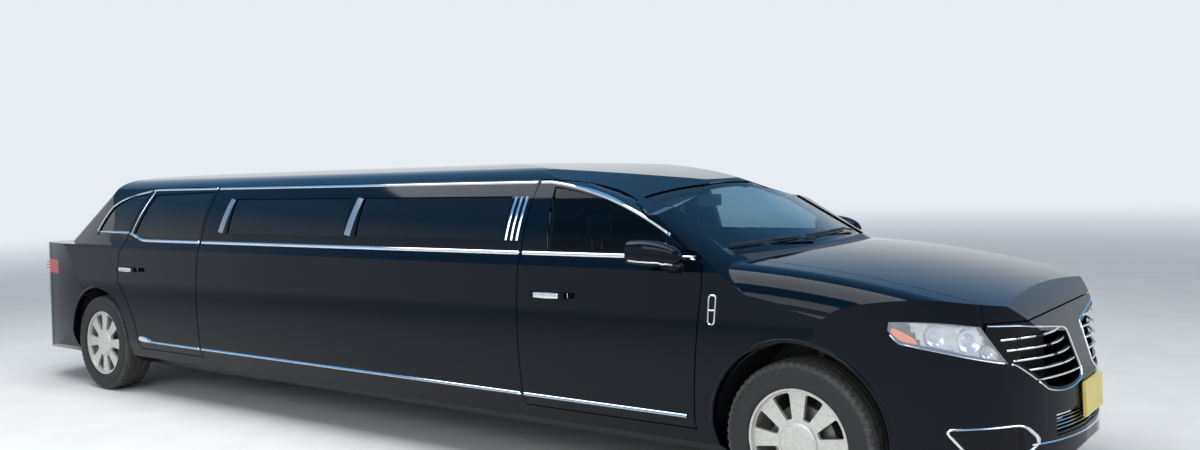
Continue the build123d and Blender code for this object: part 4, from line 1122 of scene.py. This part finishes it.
for k, (y_low, y_high, z_low, z_high) in enumerate([(-0.7, -0.13, 1.222, 1.228),
                                                    (-0.06, 0.52, 1.226, 1.224)]):
    blade = [screen_point(y, z, 0.01)
             for y, z in zip(steps(y_low, y_high, 16), steps(z_low, z_high, 16))]
    bar(f"wiper_blade_{k + 1}", blade, 0.0035, 0.008, SEAL, 0.6)
    middle = blade[9]
    pivot = screen_point(y_high + 0.09, 1.206, 0.014)
    arm = smooth_line([pivot, pivot.lerp(middle, 0.5) + Vector((0.004, 0, 0.01)),
                       middle + Vector((0.004, 0, 0.006))])
    bar(f"wiper_arm_{k + 1}", arm, 0.007, 0.005, PLASTIC, 0.6)

# ---- tail

# Level strips across the tail, or on each side of it where they end short of the middle
for name, y_low, y_high, z, width, height, look in (
        ("tail_chrome", -0.6, 0.6, 0.872, 0.016, 0.005, CHROME),
        *((f"tail_rib_{k + 1}", -0.84, 0.84, 0.918 + 0.026 * k, 0.006, 0.004, LAMP_RED)
          for k in range(3)),
        ("bumper_insert", -0.62, 0.62, 0.4, 0.1, 0.003, PLASTIC),
        ("rear_reflector", -0.6, -0.46, 0.47, 0.024, 0.004, LAMP_RED),
        ("stop_lamp", -0.17, 0.17, 1.598, 0.018, 0.006, LAMP_RED)):
    trims(name, yz([(y_low, z), (y_high, z)], TAIL_X), width, height, look, REAR, both=y_high < 0)

# The blank rear plate, with a bolt in each of its holes
PLATE_X = -4.056
PLATE_HALF_T = 0.0015
BOLT = [(0.0, 0.0004), (0.0, 0.007), (0.003, 0.0062), (0.0045, 0.003), (0.005, 0.0004)]
plate = rounded([(-0.152, 0.69), (0.152, 0.69), (0.152, 0.842), (-0.152, 0.842)], 0.012, 4)
points = [p for x in (PLATE_HALF_T, -PLATE_HALF_T) for p in yz(plate, PLATE_X + x)]
piece("rear_plate", points, capped(2, len(plate)), PLATE, "liftgate")
for k, (y, z) in enumerate((y, 0.765 + z) for y in (-0.089, 0.089) for z in (-0.0603, 0.0603)):
    points, faces = revolve(BOLT, (0, 0, 0), 20)
    points = [Vector((PLATE_X - PLATE_HALF_T + p.y, y + p.x, z + p.z)) for p in points]
    piece(f"rear_plate_bolt_{k + 1}", points, faces, STEEL, "liftgate")
border = rounded([(-0.545, 1.275), (0.545, 1.275), (0.462, 1.553), (-0.462, 1.553)], 0.03)
laid("rear_glass_border", yz(densify(border, 0.03), TAIL_X), 0.02, 0.0008, REAR,
     skin_of("liftgate_glass"), BLACK_GLOSS, "liftgate", "seal", closed=True, step=0.03)

# ---- roof rail over the front door

RAIL_INNERMOST_Y = -0.35
RAIL_HEIGHTS = (1.36, 1.578)
RAIL_WIDEST = 0.14
RAIL_NARROWEST = 0.012
RAIL_TALLEST = 0.09


def rail_gap(x):
    """The door's top edge and the body's edge above it, at one place along the car."""
    door_edge = None
    for z in steps(*RAIL_HEIGHTS, 109):
        depth, index = hit(skin, Vector((x, 0, z)), SIDE)
        if depth is None or depth > RAIL_INNERMOST_Y:
            continue
        if skin_owner[index] == DOOR:
            door_edge = Vector((x, depth, z))
        elif skin_owner[index] == "body" and door_edge and abs(depth - door_edge.y) < RAIL_WIDEST:
            return door_edge, Vector((x, depth, z))
    return None


stretches = [[]]
for x in steps(1.6, 2.32, 48):
    gap = rail_gap(x)
    rise = gap[1] - gap[0] if gap else Vector()
    if rise.length >= RAIL_NARROWEST and rise.z <= RAIL_TALLEST:
        stretches[-1].append(gap)
    elif stretches[-1]:
        stretches.append([])
for k, stretch in enumerate(s for s in stretches if len(s) > 2):
    points = []
    for lower, upper in stretch:
        run = (upper - lower).normalized()
        a, b = lower + run * 0.0045, upper + run * 0.004
        out = run.cross(Vector(REAR)).normalized()
        if out.y > 0:
            out = -out
        swell = out * min(0.004, (b - a).length * 0.12)
        points += [a, a.lerp(b, 0.5) + swell, b, b - out * 0.006, a - out * 0.006]
    pair(f"roof_rail_{k + 1}", points, capped(len(stretch), 5), PAINT)
